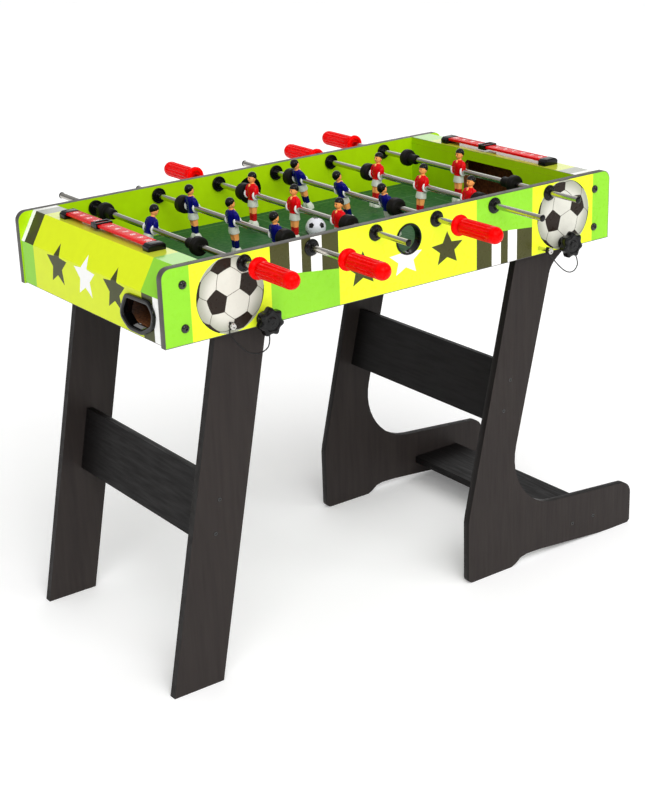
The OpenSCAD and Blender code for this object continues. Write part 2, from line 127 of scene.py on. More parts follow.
def make_camera():
    camera = bpy.data.objects.new("camera", bpy.data.cameras.new("camera"))
    bpy.context.scene.collection.objects.link(camera)
    forward = Vector(CAMERA_FORWARD).normalized()
    level = forward.cross(Vector((0, 0, 1))).normalized()
    upright = level.cross(forward)
    right = level * math.cos(CAMERA_ROLL) + upright * math.sin(CAMERA_ROLL)
    axes = Matrix((right, right.cross(forward), -forward)).transposed()
    camera.matrix_world = Matrix.Translation(to_row(CAMERA_AT)) @ axes.to_4x4()
    camera.data.lens = CAMERA_LENS
    camera.data.clip_end = 100
    bpy.context.scene.camera = camera


make_camera()

# ---- Materials ----

NOISE_LOW, NOISE_HIGH = 0.32, 0.68
BUMP_METRES = 0.0006
# Every material by its name here, as the frame's own materials hold some of the names
finishes = {}


def linear(colour, gain=1.0):
    """A display colour of 0 to 255 as linear light, times gain."""
    shares = [c / 255 for c in colour]
    light = [s / 12.92 if s <= 0.04045 else ((s + 0.055) / 1.055) ** 2.4 for s in shares]
    return (*[min(1.0, value * gain) for value in light], 1.0)


def surface(
    name, colour, rough, vary=0.06, patch=60, bump=0.04, grain=1200,
    stretch=(1, 1, 1), metallic=0.0, coat=0.0, shine=0.4, second=None, shaded=None,
):
    """A material whose colour, roughness and height follow noise. patch and grain are the
    noise's scales per metre, and stretch runs them along an axis. second is the colour of
    the darker patches. shine is the strength of its plain reflection. shaded is (centre,
    radius, colour), for a printed ball's dim rim."""
    material = bpy.data.materials.new(name)
    material.use_nodes = True
    nodes, links = material.node_tree.nodes, material.node_tree.links
    shader = nodes["Principled BSDF"]
    shader.inputs["Metallic"].default_value = metallic
    shader.inputs["Coat Weight"].default_value = coat
    shader.inputs["Specular IOR Level"].default_value = shine
    shader.inputs["Coat Roughness"].default_value = 0.12
    coordinates = nodes.new("ShaderNodeTexCoord")
    mapping = nodes.new("ShaderNodeMapping")
    mapping.inputs["Scale"].default_value = stretch
    links.new(coordinates.outputs["Object"], mapping.inputs["Vector"])

    def noise(scale, low, high, detail=3):
        texture = nodes.new("ShaderNodeTexNoise")
        texture.inputs["Scale"].default_value = scale
        texture.inputs["Detail"].default_value = detail
        ranged = nodes.new("ShaderNodeMapRange")
        ranged.inputs["From Min"].default_value = NOISE_LOW
        ranged.inputs["From Max"].default_value = NOISE_HIGH
        ranged.inputs["To Min"].default_value = low
        ranged.inputs["To Max"].default_value = high
        links.new(mapping.outputs["Vector"], texture.inputs["Vector"])
        links.new(texture.outputs["Fac"], ranged.inputs["Value"])
        return ranged.outputs["Result"]

    def mixed(share, first, last):
        mix = nodes.new("ShaderNodeMix")
        mix.data_type = "RGBA"
        links.new(share, mix.inputs["Factor"])
        for socket, value in ((mix.inputs[6], first), (mix.inputs[7], last)):
            if isinstance(value, tuple):
                socket.default_value = value
            else:
                links.new(value, socket)
        return mix.outputs[2]

    dark = linear(second) if second else linear(colour, 1 - vary)
    paint = mixed(noise(patch, 0, 1), dark, linear(colour, 1 + vary))
    if shaded:
        centre, radius, rim = shaded
        offset = nodes.new("ShaderNodeVectorMath")
        offset.operation = "DISTANCE"
        offset.inputs[1].default_value = to_row(centre)
        links.new(coordinates.outputs["Object"], offset.inputs[0])
        ramp = nodes.new("ShaderNodeMapRange")
        ramp.interpolation_type = "SMOOTHSTEP"
        ramp.inputs["From Min"].default_value = radius * MM * 0.55
        ramp.inputs["From Max"].default_value = radius * MM
        links.new(offset.outputs["Value"], ramp.inputs["Value"])
        paint = mixed(ramp.outputs["Result"], paint, linear(rim))
    links.new(paint, shader.inputs["Base Color"])
    links.new(noise(patch * 2.3, rough * 0.8, min(1, rough * 1.2)), shader.inputs["Roughness"])
    height = nodes.new("ShaderNodeBump")
    height.inputs["Strength"].default_value = bump
    height.inputs["Distance"].default_value = BUMP_METRES
    links.new(noise(grain, 0, 1, detail=5), height.inputs["Height"])
    links.new(height.outputs["Normal"], shader.inputs["Normal"])
    finishes[name] = material
    return material


PRINT_LOOK = {"rough": 0.3, "shine": 0.15}
END_LOOK = {"rough": 0.12, "shine": 0.12}
LEDGE_LOOK = {"rough": 0.12, "coat": 0.35}
LEG_LOOK = {"rough": 0.5, "patch": 90, "bump": 0.12, "grain": 1400, "shine": 0.15}
PRINT_VARY = {"yellow": 0.015, "green": 0.02, "olive": 0.04, "white": 0.01}
# The ledge family is the end print's colours washed paler and greyer, the olive most: a painted
# reflection of the bright surroundings on the glossy ledge.
PRINT_COLOURS = {
    "print": ((228, 246, 46), (140, 211, 48), (70, 70, 36), (248, 248, 244)),
    "end": ((224, 240, 34), (148, 216, 62), (72, 76, 40), (255, 255, 252)),
    "ledge_sheen": ((214, 226, 62), (150, 214, 84), (150, 156, 138), (240, 242, 234)),
}
PRINT_PAINTS, END_PAINTS, LEDGE_SHEEN_PAINTS = (
    [f"{colour}_{family}" for colour in PRINT_VARY] for family in PRINT_COLOURS
)
for (family, colours), look in zip(PRINT_COLOURS.items(), (PRINT_LOOK, END_LOOK, LEDGE_LOOK)):
    for (name, vary), colour in zip(PRINT_VARY.items(), colours):
        surface(f"{name}_{family}", colour, vary=vary, **look)
surface("dark_print", (40, 32, 26), vary=0.06, **PRINT_LOOK)
surface("seam_print", (86, 84, 72), vary=0.05, **PRINT_LOOK)
surface("lime_board", (168, 212, 6), 0.36, vary=0.03, shine=0.2)
surface("edge_band", (82, 80, 76), 0.42, vary=0.1, patch=25, grain=2500, shine=0.25)
surface("field_green", (40, 90, 50), 0.5, vary=0.05, grain=2500, shine=0.15)
surface("field_line", (112, 148, 110), 0.5, vary=0.05, shine=0.15)
surface(
    "hardboard", (128, 80, 46), 0.75, patch=220, bump=0.3, grain=1800, shine=0.2,
    vary=0.2, second=(88, 52, 30),
)
surface(
    "raw_wood", (196, 158, 108), 0.7, patch=45, bump=0.25, stretch=(1, 0.12, 1),
    second=(160, 118, 74),
)
surface("leg_foil", (46, 41, 39), stretch=(1, 1, 0.08), second=(42, 37, 36), **LEG_LOOK)
# The stretchers and foot shelf are the leg foil painted much darker: painted shade, for where they
# stand under the table.
surface("shaded_cross_foil", (18, 16, 16), stretch=(1, 0.08, 1), second=(17, 15, 15), **LEG_LOOK)
surface("leg_edge", (26, 23, 22), 0.45, vary=0.12, patch=35, grain=2500, shine=0.15)
surface("black_plastic", (10, 10, 10), 0.2, vary=0.12, bump=0.02, grain=3500, shine=0.28)
surface("black_gloss", (7, 7, 8), 0.12, vary=0.1, bump=0.01, shine=0.28)
surface("black_rubber", (17, 15, 14), 0.5, vary=0.12, bump=0.1, grain=4000, shine=0.2)
surface("grip_red", (238, 0, 0), 0.26, vary=0.04, bump=0.02, shine=0.08)
surface("counter_red", (226, 6, 12), 0.22, vary=0.04, bump=0.02, shine=0.12)
surface("tile_pink", (222, 52, 54), 0.24, vary=0.03, shine=0.12)
surface("digit_white", (250, 240, 236), 0.3, vary=0.02, shine=0.3)
surface("rod_steel", (186, 183, 176), 0.17, vary=0.04, patch=120, bump=0.0, metallic=1.0)
surface("zinc", (206, 204, 198), 0.2, patch=200, bump=0.03, grain=2600, metallic=1.0)
surface("bolt_black", (20, 20, 20), 0.18, vary=0.2, patch=300, bump=0.02, coat=0.5)
surface("skin", (255, 170, 96), 0.36, vary=0.03, bump=0.02, shine=0.15)
surface("hair_black", (8, 7, 7), 0.09, vary=0.1, patch=400, bump=0.05, grain=900)
surface("shirt_blue", (8, 8, 104), 0.13, vary=0.08, patch=200, shine=0.2)
surface("shirt_red", (214, 6, 16), 0.15, vary=0.05, patch=200, shine=0.2)
surface("sock_blue", (6, 6, 84), 0.2, vary=0.08, patch=200)
surface("sock_red", (190, 16, 24), 0.26, vary=0.05, patch=200)
surface("shorts_white", (212, 216, 206), 0.34, vary=0.03, patch=200)
surface("shoe_white", (208, 214, 200), 0.34, vary=0.03, patch=200)
surface("cuff_white", (236, 237, 236), 0.3, vary=0.02, patch=200)
surface("face_dark", (34, 24, 22), 0.3, vary=0.1)
surface("lip_pink", (206, 104, 76), 0.35, vary=0.04)
surface("ball_white", (226, 226, 234), 0.26, vary=0.02, patch=150)
surface("ball_black", (26, 26, 28), 0.26, vary=0.1, patch=150)
surface("cord_black", (6, 6, 6), 0.5, vary=0.15, bump=0.3, grain=3000)

# ---- Mesh helpers ----


class Shape:
    """Points in millimetres, and faces that each have a mark, the number of their material."""

    def __init__(self):
        self.points, self.faces, self.marks = [], [], []

    def add(self, points, faces, marks=0):
        start = len(self.points)
        self.points += [Vector(p) for p in points]
        self.faces += [[start + i for i in face] for face in faces]
        self.marks += [marks] * len(faces) if isinstance(marks, int) else list(marks)
        return self

    def join(self, other, move=Vector):
        return self.add([move(p) for p in other.points], other.faces, other.marks)

    def turn(self, profile, at, mark=0, **options):
        return self.add(*turned(profile, at, **options), mark)

    def loft(self, mark, sections):
        return self.add(*skinned([oval(*section) for section in sections]), mark)

    def plate(self, mark, outline, low, high, ease, place=lambda u, v, h: (u, v, h)):
        return self.add(*plate(outline, low, high, ease, place), mark)

    def egg(self, mark, centre, size, steps=10, sides=14):
        return self.add(*ellipsoid(centre, size, steps, sides), mark)


def show(name, obj, body, stands_for=()):
    """Puts a finished object in the scene under its name, on its body, and hides the CAD nodes it
    stands for.
    """
    if obj.name not in bpy.context.scene.collection.objects:
        bpy.context.scene.collection.objects.link(obj)
    obj.name = name
    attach(obj, body)
    if stands_for:
        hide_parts(*stands_for)
    return obj


def piece(name, shape, paints, body, stands_for=(), sharp=40):
    """Makes a shape into an object of the scene."""
    mesh = bpy.data.meshes.new(name)
    mesh.from_pydata([to_row(p) for p in shape.points], [], shape.faces)
    for paint in paints:
        mesh.materials.append(finishes[paint])
    mesh.polygons.foreach_set("material_index", shape.marks)
    tidy = bmesh.new()
    tidy.from_mesh(mesh)
    bmesh.ops.recalc_face_normals(tidy, faces=tidy.faces)
    tidy.to_mesh(mesh)
    tidy.free()
    mesh.polygons.foreach_set("use_smooth", [True] * len(mesh.polygons))
    mesh.set_sharp_from_angle(angle=math.radians(sharp))
    return show(name, bpy.data.objects.new(name, mesh), body, stands_for)


def rounded(node, name, paints, ease=0.8, mark=None):
    """A CAD node with its edges rounded off, in its place. mark gives the material's number
    from a face's normal and middle."""
    flat_turn, edge_turn = math.radians(0.6), math.radians(35)
    source = frame["nodes"][node]
    shape = bmesh.new()
    shape.from_mesh(source.data)
    bmesh.ops.remove_doubles(shape, verts=shape.verts, dist=1e-6)
    bmesh.ops.dissolve_limit(shape, angle_limit=flat_turn, verts=shape.verts, edges=shape.edges)
    for face in shape.faces:
        turns = [edge.calc_face_angle(0) for edge in face.edges if len(edge.link_faces) == 2]
        face.smooth = any(flat_turn < turn < edge_turn for turn in turns)
        face.material_index = mark(face.normal, face.calc_center_median()) if mark else 0
    edges = [e for e in shape.edges if len(e.link_faces) == 2 and e.calc_face_angle(0) > edge_turn]
    made = bmesh.ops.bevel(
        shape, geom=edges, offset=ease * MM, segments=2, profile=0.5, affect="EDGES",
        clamp_overlap=True,
    )
    for face in made["faces"]:
        face.smooth = True
    mesh = bpy.data.meshes.new(name)
    shape.to_mesh(mesh)
    shape.free()
    for paint in paints:
        mesh.materials.append(finishes[paint])
    return show(name, bpy.data.objects.new(name, mesh), source["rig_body"], [node])


def skinned(rows, loop=False):
    """Points and faces of a skin over a stack of rings. A ring of one point is a tip, open
    ends get a cap, and loop joins the last ring to the first."""
    points, starts = [], []
    for row in rows:
        starts.append(len(points))
        points += row
    faces = []
    spans = list(range(len(rows) - 1)) + ([len(rows) - 1] if loop else [])
    for span in spans:
        after = (span + 1) % len(rows)
        a, b, m, n = starts[span], starts[after], len(rows[span]), len(rows[after])
        for i in range(max(m, n)):
            j = (i + 1) % max(m, n)
            if m == 1:
                faces.append((a, b + j, b + i))
            elif n == 1:
                faces.append((a + i, a + j, b))
            else:
                faces.append((a + i, a + j, b + j, b + i))
    if not loop:
        for start, row in ((starts[0], rows[0]), (starts[-1], rows[-1])):
            if len(row) > 1:
                faces.append(list(range(start, start + len(row))))
    return points, faces


def eased(path, radius, steps=3, closed=False):
    """A flat path with its corners rounded off."""
    path = [Vector(p) for p in path]
    result = []
    for i, corner in enumerate(path):
        if not closed and i in (0, len(path) - 1):
            result.append(corner)
            continue
        before, after = path[i - 1] - corner, path[(i + 1) % len(path)] - corner
        reach = min(radius, before.length * 0.45, after.length * 0.45)
        start, end = corner + before.normalized() * reach, corner + after.normalized() * reach
        for step in range(steps + 1):
            t = step / steps
            result.append(start * (1 - t) ** 2 + corner * 2 * t * (1 - t) + end * t * t)
    return result


def turned(profile, at, facing=-1, sides=40, ease=0.0, loop=False, reach=None):
    """A shape turned about a line along Y through at. The profile is (distance along Y,
    radius), facing gives its direction, and reach changes a radius with distance and angle."""
    if ease:
        profile = eased(profile, ease, closed=loop)
    rows = []
    for along, radius in profile:
        y = at[1] + facing * along
        if radius < 1e-6:
            rows.append([Vector((at[0], y, at[2]))])
            continue
        row = []
        for i in range(sides):
            angle = math.tau * i / sides
            r = reach(along, radius, angle) if reach else radius
            row.append(Vector((at[0] + r * math.sin(angle), y, at[2] + r * math.cos(angle))))
        rows.append(row)
    return skinned(rows, loop)


def inset(outline, distance):
    """A closed anticlockwise outline drawn in by a distance."""
    result = []
    for i, corner in enumerate(outline):
        a = (corner - outline[i - 1]).normalized()
        b = (outline[(i + 1) % len(outline)] - corner).normalized()
        left_a, left_b = Vector((-a.y, a.x)), Vector((-b.y, b.x))
        result.append(corner + (left_a + left_b) * distance / (1 + left_a.dot(left_b)))
    return result


def plate(outline, low, high, ease, place):
    """An outline made solid from low to high with rounded edges. place(u, v, height) puts it."""
    arc = [math.radians(angle) for angle in (0, 30, 60, 90)]
    steps = [(ease * (1 - math.sin(a)), low + ease * (1 - math.cos(a))) for a in arc]
    steps += [(ease * (1 - math.sin(a)), high - ease * (1 - math.cos(a))) for a in reversed(arc)]
    rows = [[Vector(place(p.x, p.y, h)) for p in inset(outline, d)] for d, h in steps]
    return skinned(rows)


def mirrored_y(shape):
    return Shape().join(shape, lambda p: Vector((p.x, -p.y, p.z)))


def with_twin(shape):
    """A shape and its mirror image on the other side of the cabinet."""
    return Shape().join(shape).join(mirrored_y(shape))


def turned_round(shape):
    return Shape().join(shape, lambda p: Vector((-p.x, -p.y, p.z)))


# ---- Tether cords, from the lock pins to the knobs' necks ----

TETHER_RADIUS = 1
TETHER_ROUTES = {
    "left": [
        (-344, -236, 598), (-346, -238, 590), (-341, -239, 581), (-331, -240, 569),
        (-319, -240, 556.5), (-304, -240, 549.5), (-289.5, -240, 549), (-279, -240, 555),
        (-276, -240, 566), (-276, -239.5, 578), (-279.5, -239.5, 589.5),
    ],
    "right": [
        (291, -259, 596), (298, -257, 588.5), (310, -254, 578), (325, -251, 564.5),
        (339, -249, 554), (353, -247, 548), (366, -245, 548.5), (375, -243, 556),
        (374.5, -242, 567), (368, -240.5, 580), (354, -239.5, 592.5),
    ],
}


def smooth_line(route):
    """The route with a point midway between each two of its points."""
    points = [Vector(p) for p in route]
    line = []
    for i in range(len(points) - 1):
        a, b, c, d = (points[min(max(i + j, 0), len(points) - 1)] for j in (-1, 0, 1, 2))
        line += [b, (9 * (b + c) - a - d) / 16]
    return line + [points[-1]]


def make_tether(side, end):
    flip = -1 if side == "back" else 1
    line = smooth_line([(x, y * flip, z) for x, y, z in TETHER_ROUTES[end]])
    curve = bpy.data.curves.new(f"tether_{side}_{end}_cord", "CURVE")
    curve.dimensions = "3D"
    spline = curve.splines.new("POLY")
    spline.points.add(len(line) - 1)
    for place, point in zip(spline.points, line):
        place.co = (*to_row(point), 1)
    curve.bevel_depth = TETHER_RADIUS * MM
    curve.bevel_resolution = 4
    curve.use_fill_caps = True
    curve.materials.append(finishes["cord_black"])
    cord = bpy.data.objects.new(curve.name, curve)
    show(curve.name, cord, "root", [f"tether_{side}_{end}"])


for side in ("front", "back"):
    for end in ("left", "right"):
        make_tether(side, end)

# ---- Football pattern ----

NEIGHBOUR_ANGLE = math.atan(2)


def football(first, second):
    """Panels of a ball with 12 dark pentagons, as (is_pentagon, corners on the unit sphere).
    One pentagon faces first, and one of its neighbours lies towards second."""
    first = Vector(first).normalized()
    across = Vector(second) - first * first.dot(Vector(second))
    across.normalize()
    side = first.cross(across)
    ring = []
    for i in range(5):
        turn = math.tau * i / 5
        outward = across * math.cos(turn) + side * math.sin(turn)
        ring.append(first * math.cos(NEIGHBOUR_ANGLE) + outward * math.sin(NEIGHBOUR_ANGLE))
    hubs = [first, *ring, -first, *[-v for v in ring]]

    def near(v):
        return [h for h in hubs if abs(h.dot(v) - math.cos(NEIGHBOUR_ANGLE)) < 0.01]

    def ordered(centre, corners):
        start = (corners[0] - centre * corners[0].dot(centre)).normalized()
        other = centre.cross(start)
        return sorted(corners, key=lambda c: math.atan2(c.dot(other), c.dot(start)))

    panels = []
    for hub in hubs:
        panels.append((True, ordered(hub, [(hub * 2 + n).normalized() for n in near(hub)])))
    for i, a in enumerate(hubs):
        for j, b in enumerate(hubs[:i]):
            for c in hubs[:j]:
                if b in near(a) and c in near(a) and c in near(b):
                    trio = (a, b, c)
                    corners = [(p * 2 + q).normalized() for p in trio for q in trio if p != q]
                    panels.append((False, ordered((a + b + c).normalized(), corners)))
    return panels


def arc_points(a, b, steps):
    return [(a * (1 - i / steps) + b * i / steps).normalized() for i in range(steps + 1)]


PRINT_PENTAGON = (-0.42, -0.9, -0.14)
PRINT_NEIGHBOUR = (-0.226, -0.52, 0.82)
PRINT_BALL_RADIUS = 60.5
PRINT_SEAM = 0.45


def printed_ball(centre, white, dark, seam):
    """Layers of a football printed flat: its disc, its seams and its dark pentagons."""
    def flat(point):
        spot = Vector((point.x, point.z))
        if point.y > 0:
            spot.normalize()
        return Vector(centre) + spot * PRINT_BALL_RADIUS

    layers = [(circle(centre, PRINT_BALL_RADIUS, 72), white)]
    lines, pentagons = [], []
    for is_pentagon, corners in football(PRINT_PENTAGON, PRINT_NEIGHBOUR):
        pairs = list(zip(corners, corners[1:] + corners[:1]))
        if is_pentagon:
            if min(c.y for c in corners) < 0:
                edge = [p for a, b in pairs for p in arc_points(a, b, 4)[:-1]]
                if sum(p.y for p in edge) / len(edge) < 0.15:
                    pentagons.append(([flat(p) for p in edge], dark))
            continue
        for a, b in pairs:
            path = [flat(p) for p in arc_points(a, b, 6) if p.y < 0.02]
            for p, q in zip(path, path[1:]):
                if (q - p).length > 0.01:
                    off = Vector((p.y - q.y, q.x - p.x)).normalized() * PRINT_SEAM
                    lines.append(([p - off, q - off, q + off, p + off], seam))
    return layers + lines + pentagons


# ---- Printed sheets ----

SHEET_UNDER = -0.3
SHEET_OVER = 0.15
BUSHING_HOLE, SERVE_HOLE, STUD_HOLE, PIN_HOLE = 8.3, 24.8, 4.2, 3.1


def circle(at, radius, steps=48):
    angles = [math.tau * i / steps for i in range(steps)]
    return [Vector((at[0] + radius * math.cos(a), at[1] + radius * math.sin(a))) for a in angles]


def area(u0, u1, v0, v1):
    return [Vector(p) for p in ((u0, v0), (u1, v0), (u1, v1), (u0, v1))]


def star(at, width, height):
    """A five-pointed star with its tip at the top, at being the middle of its box."""
    tall, wide, waist = 1 + math.cos(math.pi / 5), 2 * math.cos(math.pi / 10), 0.46
    points = []
    for i in range(10):
        radius = waist if i % 2 else 1
        angle = math.pi * i / 5
        u, v = radius * math.sin(angle), radius * math.cos(angle) - 1 + tall / 2
        points.append(Vector((at[0] - u * width / wide, at[1] + v * height / tall)))
    return points


def sheet(outline, holes, layers, place, base=0, creases=()):
    """A thin closed sheet printed in layers, the last on top. Each layer is an outline and
    the number of its material. place(u, v, height) puts a point on the board."""
    loops = [outline, *holes, *[points for points, mark in layers]]
    points, faces, edges = [], [], []
    for loop in loops:
        faces.append(list(range(len(points), len(points) + len(loop))))
        points += [Vector(p) for p in loop]
    for a, b in creases:
        edges.append((len(points), len(points) + 1))
        points += [Vector(a), Vector(b)]
    flat, _, cells, _, _, origins = delaunay_2d_cdt(points, edges, faces, 1, 1e-5)
    kept, marks = [], []
    for cell, inside in zip(cells, origins):
        if 0 not in inside or any(0 < loop <= len(holes) for loop in inside):
            continue
        top = max(inside)
        kept.append(cell)
        marks.append(layers[top - 1 - len(holes)][1] if top > len(holes) else base)
    used = sorted({i for cell in kept for i in cell})
    number = {old: new for new, old in enumerate(used)}
    count = len(used)
    top = [place(flat[i].x, flat[i].y, SHEET_OVER) for i in used]
    under = [place(flat[i].x, flat[i].y, SHEET_UNDER) for i in used]
    upper = [[number[i] for i in cell] for cell in kept]
    lower = [[i + count for i in reversed(cell)] for cell in upper]
    sides, side_marks = [], []
    halves = {}
    for cell, mark in zip(upper, marks):
        for a, b in zip(cell, cell[1:] + cell[:1]):
            halves[(a, b)] = mark
    for (a, b), mark in halves.items():
        if (b, a) not in halves:
            sides.append((b, a, a + count, b + count))
            side_marks.append(mark)
    return Shape().add(top + under, upper + lower + sides, marks + marks + side_marks)


YELLOW, GREEN, OLIVE, WHITE, DARK, SEAM, LEFT_BALL, RIGHT_BALL = range(8)
STAR_WIDTH = 67
FRONT_STAR_HEIGHT = 54.5
FRONT_STAR_Z = 641.8
FRONT_STARS = [(-89, OLIVE), (-2, WHITE), (85, OLIVE)]
PRINT_BALLS = [(-339, 650), (346.5, 650)]
PRINT_BALL_COLOUR, BALL_RIM_COLOUR = (212, 211, 200), (160, 162, 146)
GREEN_ENDS = [(-HALF_LENGTH, -409), (416.5, HALF_LENGTH)]
LEFT_STRIPES = [(-265, -229, OLIVE), (-229, -206.5, WHITE), (-206.5, -189, OLIVE),
                (-189, -168, WHITE), (-168, -136, OLIVE)]
RIGHT_STRIPES = [(149, 182.6, OLIVE), (182.6, 202.8, WHITE), (202.8, 218.7, OLIVE),
                 (218.7, 239.2, WHITE), (239.2, 273.9, OLIVE)]


def side_layers():
    low, high = PANEL_BOTTOM, TABLE_HEIGHT
    layers = [(area(a, b, low, high), GREEN) for a, b in GREEN_ENDS]
    for at, white in zip(PRINT_BALLS, (LEFT_BALL, RIGHT_BALL)):
        layers += printed_ball(at, white, DARK, SEAM)
    layers += [(area(a, b, low, high), mark) for a, b, mark in LEFT_STRIPES + RIGHT_STRIPES]
    layers.append(([(-265, low), (-136, low), (-136, 650), (-265, 664)], GREEN))
    layers.append(([(149, 651), (273.9, 641), (273.9, high), (149, high)], GREEN))
    for x, mark in FRONT_STARS:
        layers.append((star((x, FRONT_STAR_Z), STAR_WIDTH, FRONT_STAR_HEIGHT), mark))
    return layers


def panel_outline(margin):
    r = PANEL_CORNER - margin
    top = []
    for side, start, end in ((-1, 180, 90), (1, 90, 0)):
        centre = Vector((side * (HALF_LENGTH - PANEL_CORNER), TABLE_HEIGHT - PANEL_CORNER))
        for i in range(9):
            angle = math.radians(start + (end - start) * i / 8)
            top.append(centre + Vector((math.cos(angle), math.sin(angle))) * r)
    low = PANEL_BOTTOM + margin
    return [Vector((HALF_LENGTH - margin, low)), Vector((-HALF_LENGTH + margin, low)), *top][::-1]


def make_side_panel(side):
    sign = -1 if side == "front" else 1

    rounded(
        f"{side}_side_panel", f"{side}_side_board", ["edge_band", "lime_board"],
        ease=1.0, mark=lambda normal, middle: int(normal.y * sign <= -0.5),
    )
    # The back panel is the front one's twin turned round, so its print runs the other way.
    spots = [((x, ROD_Z), BUSHING_HOLE, 24) for x in ROD_X] + [(SERVE_AT, SERVE_HOLE, 40)]
    spots += [(spot, STUD_HOLE, 16) for spot in KNOBS.values()]
    spots += [(spot, PIN_HOLE, 16) for spot in PINS.values()]
    holes = [circle((-sign * x, z), radius, steps) for (x, z), radius, steps in spots]
    paints = [*PRINT_PAINTS, "dark_print", "seam_print"]
    for i, (x, z) in enumerate(PRINT_BALLS):
        rim = ((-sign * x, sign * HALF_WIDTH, z), PRINT_BALL_RADIUS, BALL_RIM_COLOUR)
        paints.append(f"{side}_printed_ball_{i}")
        surface(paints[-1], PRINT_BALL_COLOUR, vary=0.01, shaded=rim, **PRINT_LOOK)
    shape = sheet(
        panel_outline(1.2), holes, side_layers(), lambda u, v, h: (u, -HALF_WIDTH - h, v)
    )
    if side == "back":
        shape = turned_round(shape)
    piece(f"{side}_side_print", shape, paints, "root", sharp=20)


for side in ("front", "back"):
    make_side_panel(side)

# ---- End panels ----

FOLD_LENGTH = math.hypot(TABLE_HEIGHT - FOLD_Z, FOLD_LEAN)
FOLD_UP = FOLD_Z - END_BOTTOM
FOLD_TOP = FOLD_UP + FOLD_LENGTH
LEDGE_END = FOLD_TOP + END_FACE - FOLD_LEAN - FIELD_END
PORT_OUTLINE = [
    (-109, TABLE_HEIGHT - 85), (-127, TABLE_HEIGHT - 57), (-197, TABLE_HEIGHT - 55),
    (-212, TABLE_HEIGHT - 74), (-204, TABLE_HEIGHT - 99), (-172, TABLE_HEIGHT - 115),
    (-131, TABLE_HEIGHT - 115), (-108, TABLE_HEIGHT - 99),
]
# The number of the first ledge paint, one of the copies with painted reflection.
LEDGE_SHEEN = 4
END_STARS = [(98, OLIVE), (6, WHITE), (-88, OLIVE)]
END_STAR_BOTTOM = 617.5
END_STAR_HEIGHT = 67


def on_end(y, up, out):
    """A point of the left end panel's outer side: up is measured along the folded board."""
    lean = Vector((FOLD_LEAN, TABLE_HEIGHT - FOLD_Z)).normalized()
    if up <= FOLD_UP:
        x, z, normal = -END_FACE, END_BOTTOM + up, Vector((-1, 0))
    elif up <= FOLD_TOP:
        x, z = Vector((-END_FACE, FOLD_Z)) + lean * (up - FOLD_UP)
        normal = Vector((-lean.y, lean.x))
    else:
        x, z, normal = FOLD_LEAN - END_FACE + up - FOLD_TOP, TABLE_HEIGHT, Vector((0, 1))
    if abs(up - FOLD_UP) < 0.01:
        normal = (Vector((-1, 0)) + Vector((-lean.y, lean.x))).normalized()
    if abs(up - FOLD_TOP) < 0.01:
        normal = (Vector((0, 1)) + Vector((-lean.y, lean.x))).normalized()
    return (x + normal.x * out, y, z + normal.y * out)


def end_print():
    """The left end's print. Y runs to the left when it is looked at from outside."""
    star_middle = END_STAR_BOTTOM - END_BOTTOM + END_STAR_HEIGHT / 2
    layers = [
        (area(180, 223, 0, FOLD_UP), GREEN), (area(211, 223, FOLD_UP, FOLD_TOP), WHITE),
        (area(180, 211, FOLD_UP, FOLD_TOP), OLIVE), (area(-223, -169, FOLD_UP, FOLD_TOP), GREEN),
        (area(-203, -171, 0, FOLD_UP), OLIVE), (area(-223, -203, 0, FOLD_UP), WHITE),
    ]
    # The ledge's stripes take the paler copies of the print, with their painted reflection.
    ledge_sheen = [(211, 223, WHITE), (180, 211, OLIVE), (-169, 180, YELLOW), (-223, -169, GREEN)]
    layers += [(area(a, b, FOLD_TOP, LEDGE_END), LEDGE_SHEEN + mark) for a, b, mark in ledge_sheen]
    layers += [(star((y, star_middle), STAR_WIDTH, END_STAR_HEIGHT), mark) for y, mark in END_STARS]
    outline = area(-INNER_Y + 0.3, INNER_Y - 0.3, 1, LEDGE_END - 1)
    port = [Vector((y, z - END_BOTTOM)) for y, z in PORT_OUTLINE]
    creases = [((-INNER_Y, up), (INNER_Y, up)) for up in (FOLD_UP, FOLD_TOP)]
    hole = inset(port, 4)
    return sheet(outline, [hole], layers, on_end, creases=creases)


def make_ends():
    for end in ("left", "right"):
        sign = -1 if end == "left" else 1

        def board_mark(normal, middle):
            out = (middle.x - CABINET_X) / MM * sign
            if abs(normal.y) > 0.5 or middle.z / MM < END_BOTTOM + 1:
                return 2
            if out < FIELD_END + 1:
                return 3
            return 1 if normal.x * sign > 0.3 or normal.z > 0.5 else 0

        rounded(
            f"{end}_end_panel", f"{end}_end_board",
            ["hardboard", "edge_band", "edge_band", "lime_board"],
            ease=0.2, mark=board_mark,
        )
        shape = end_print()
        if end == "right":
            shape = turned_round(shape)
        piece(
            f"{end}_end_print", shape, END_PAINTS + LEDGE_SHEEN_PAINTS, "root", sharp=20
        )


make_ends()

# ---- Inside of the cabinet ----


def make_inside():
    def goal_mark(normal, middle):
        inward = normal.x * (middle.x - CABINET_X) < 0
        return 0 if abs(normal.x) > 0.5 and inward else 1

    rounded(
        "goal_walls", "goal_boards", ["lime_board", "hardboard"], ease=0.2,
        mark=goal_mark,
    )
    rounded("playfield", "playfield_board", ["field_green"], ease=0.3)
    rounded("field_supports", "field_battens", ["raw_wood"])
    rounded("corner_blocks", "corner_blocks_wood", ["raw_wood"])
    rounded("ball_troughs", "ball_trough_boards", ["hardboard"], ease=0.4)


LINE_HALF = 0.55
GOAL_LINE_X = FIELD_END - 14
SIDE_LINE_Y = 205
BOXES = [(FIELD_END - 273, 131), (FIELD_END - 330, 90)]
CENTRE_CIRCLE = 62
CENTRE_SPOT = 4


def strip(a, b):
    """A field line's outline between two points."""
    a, b = Vector(a), Vector(b)
    along = (b - a).normalized() * LINE_HALF
    off = Vector((-along.y, along.x))
    return [a - along - off, b + along - off, b + along + off, a - along + off]


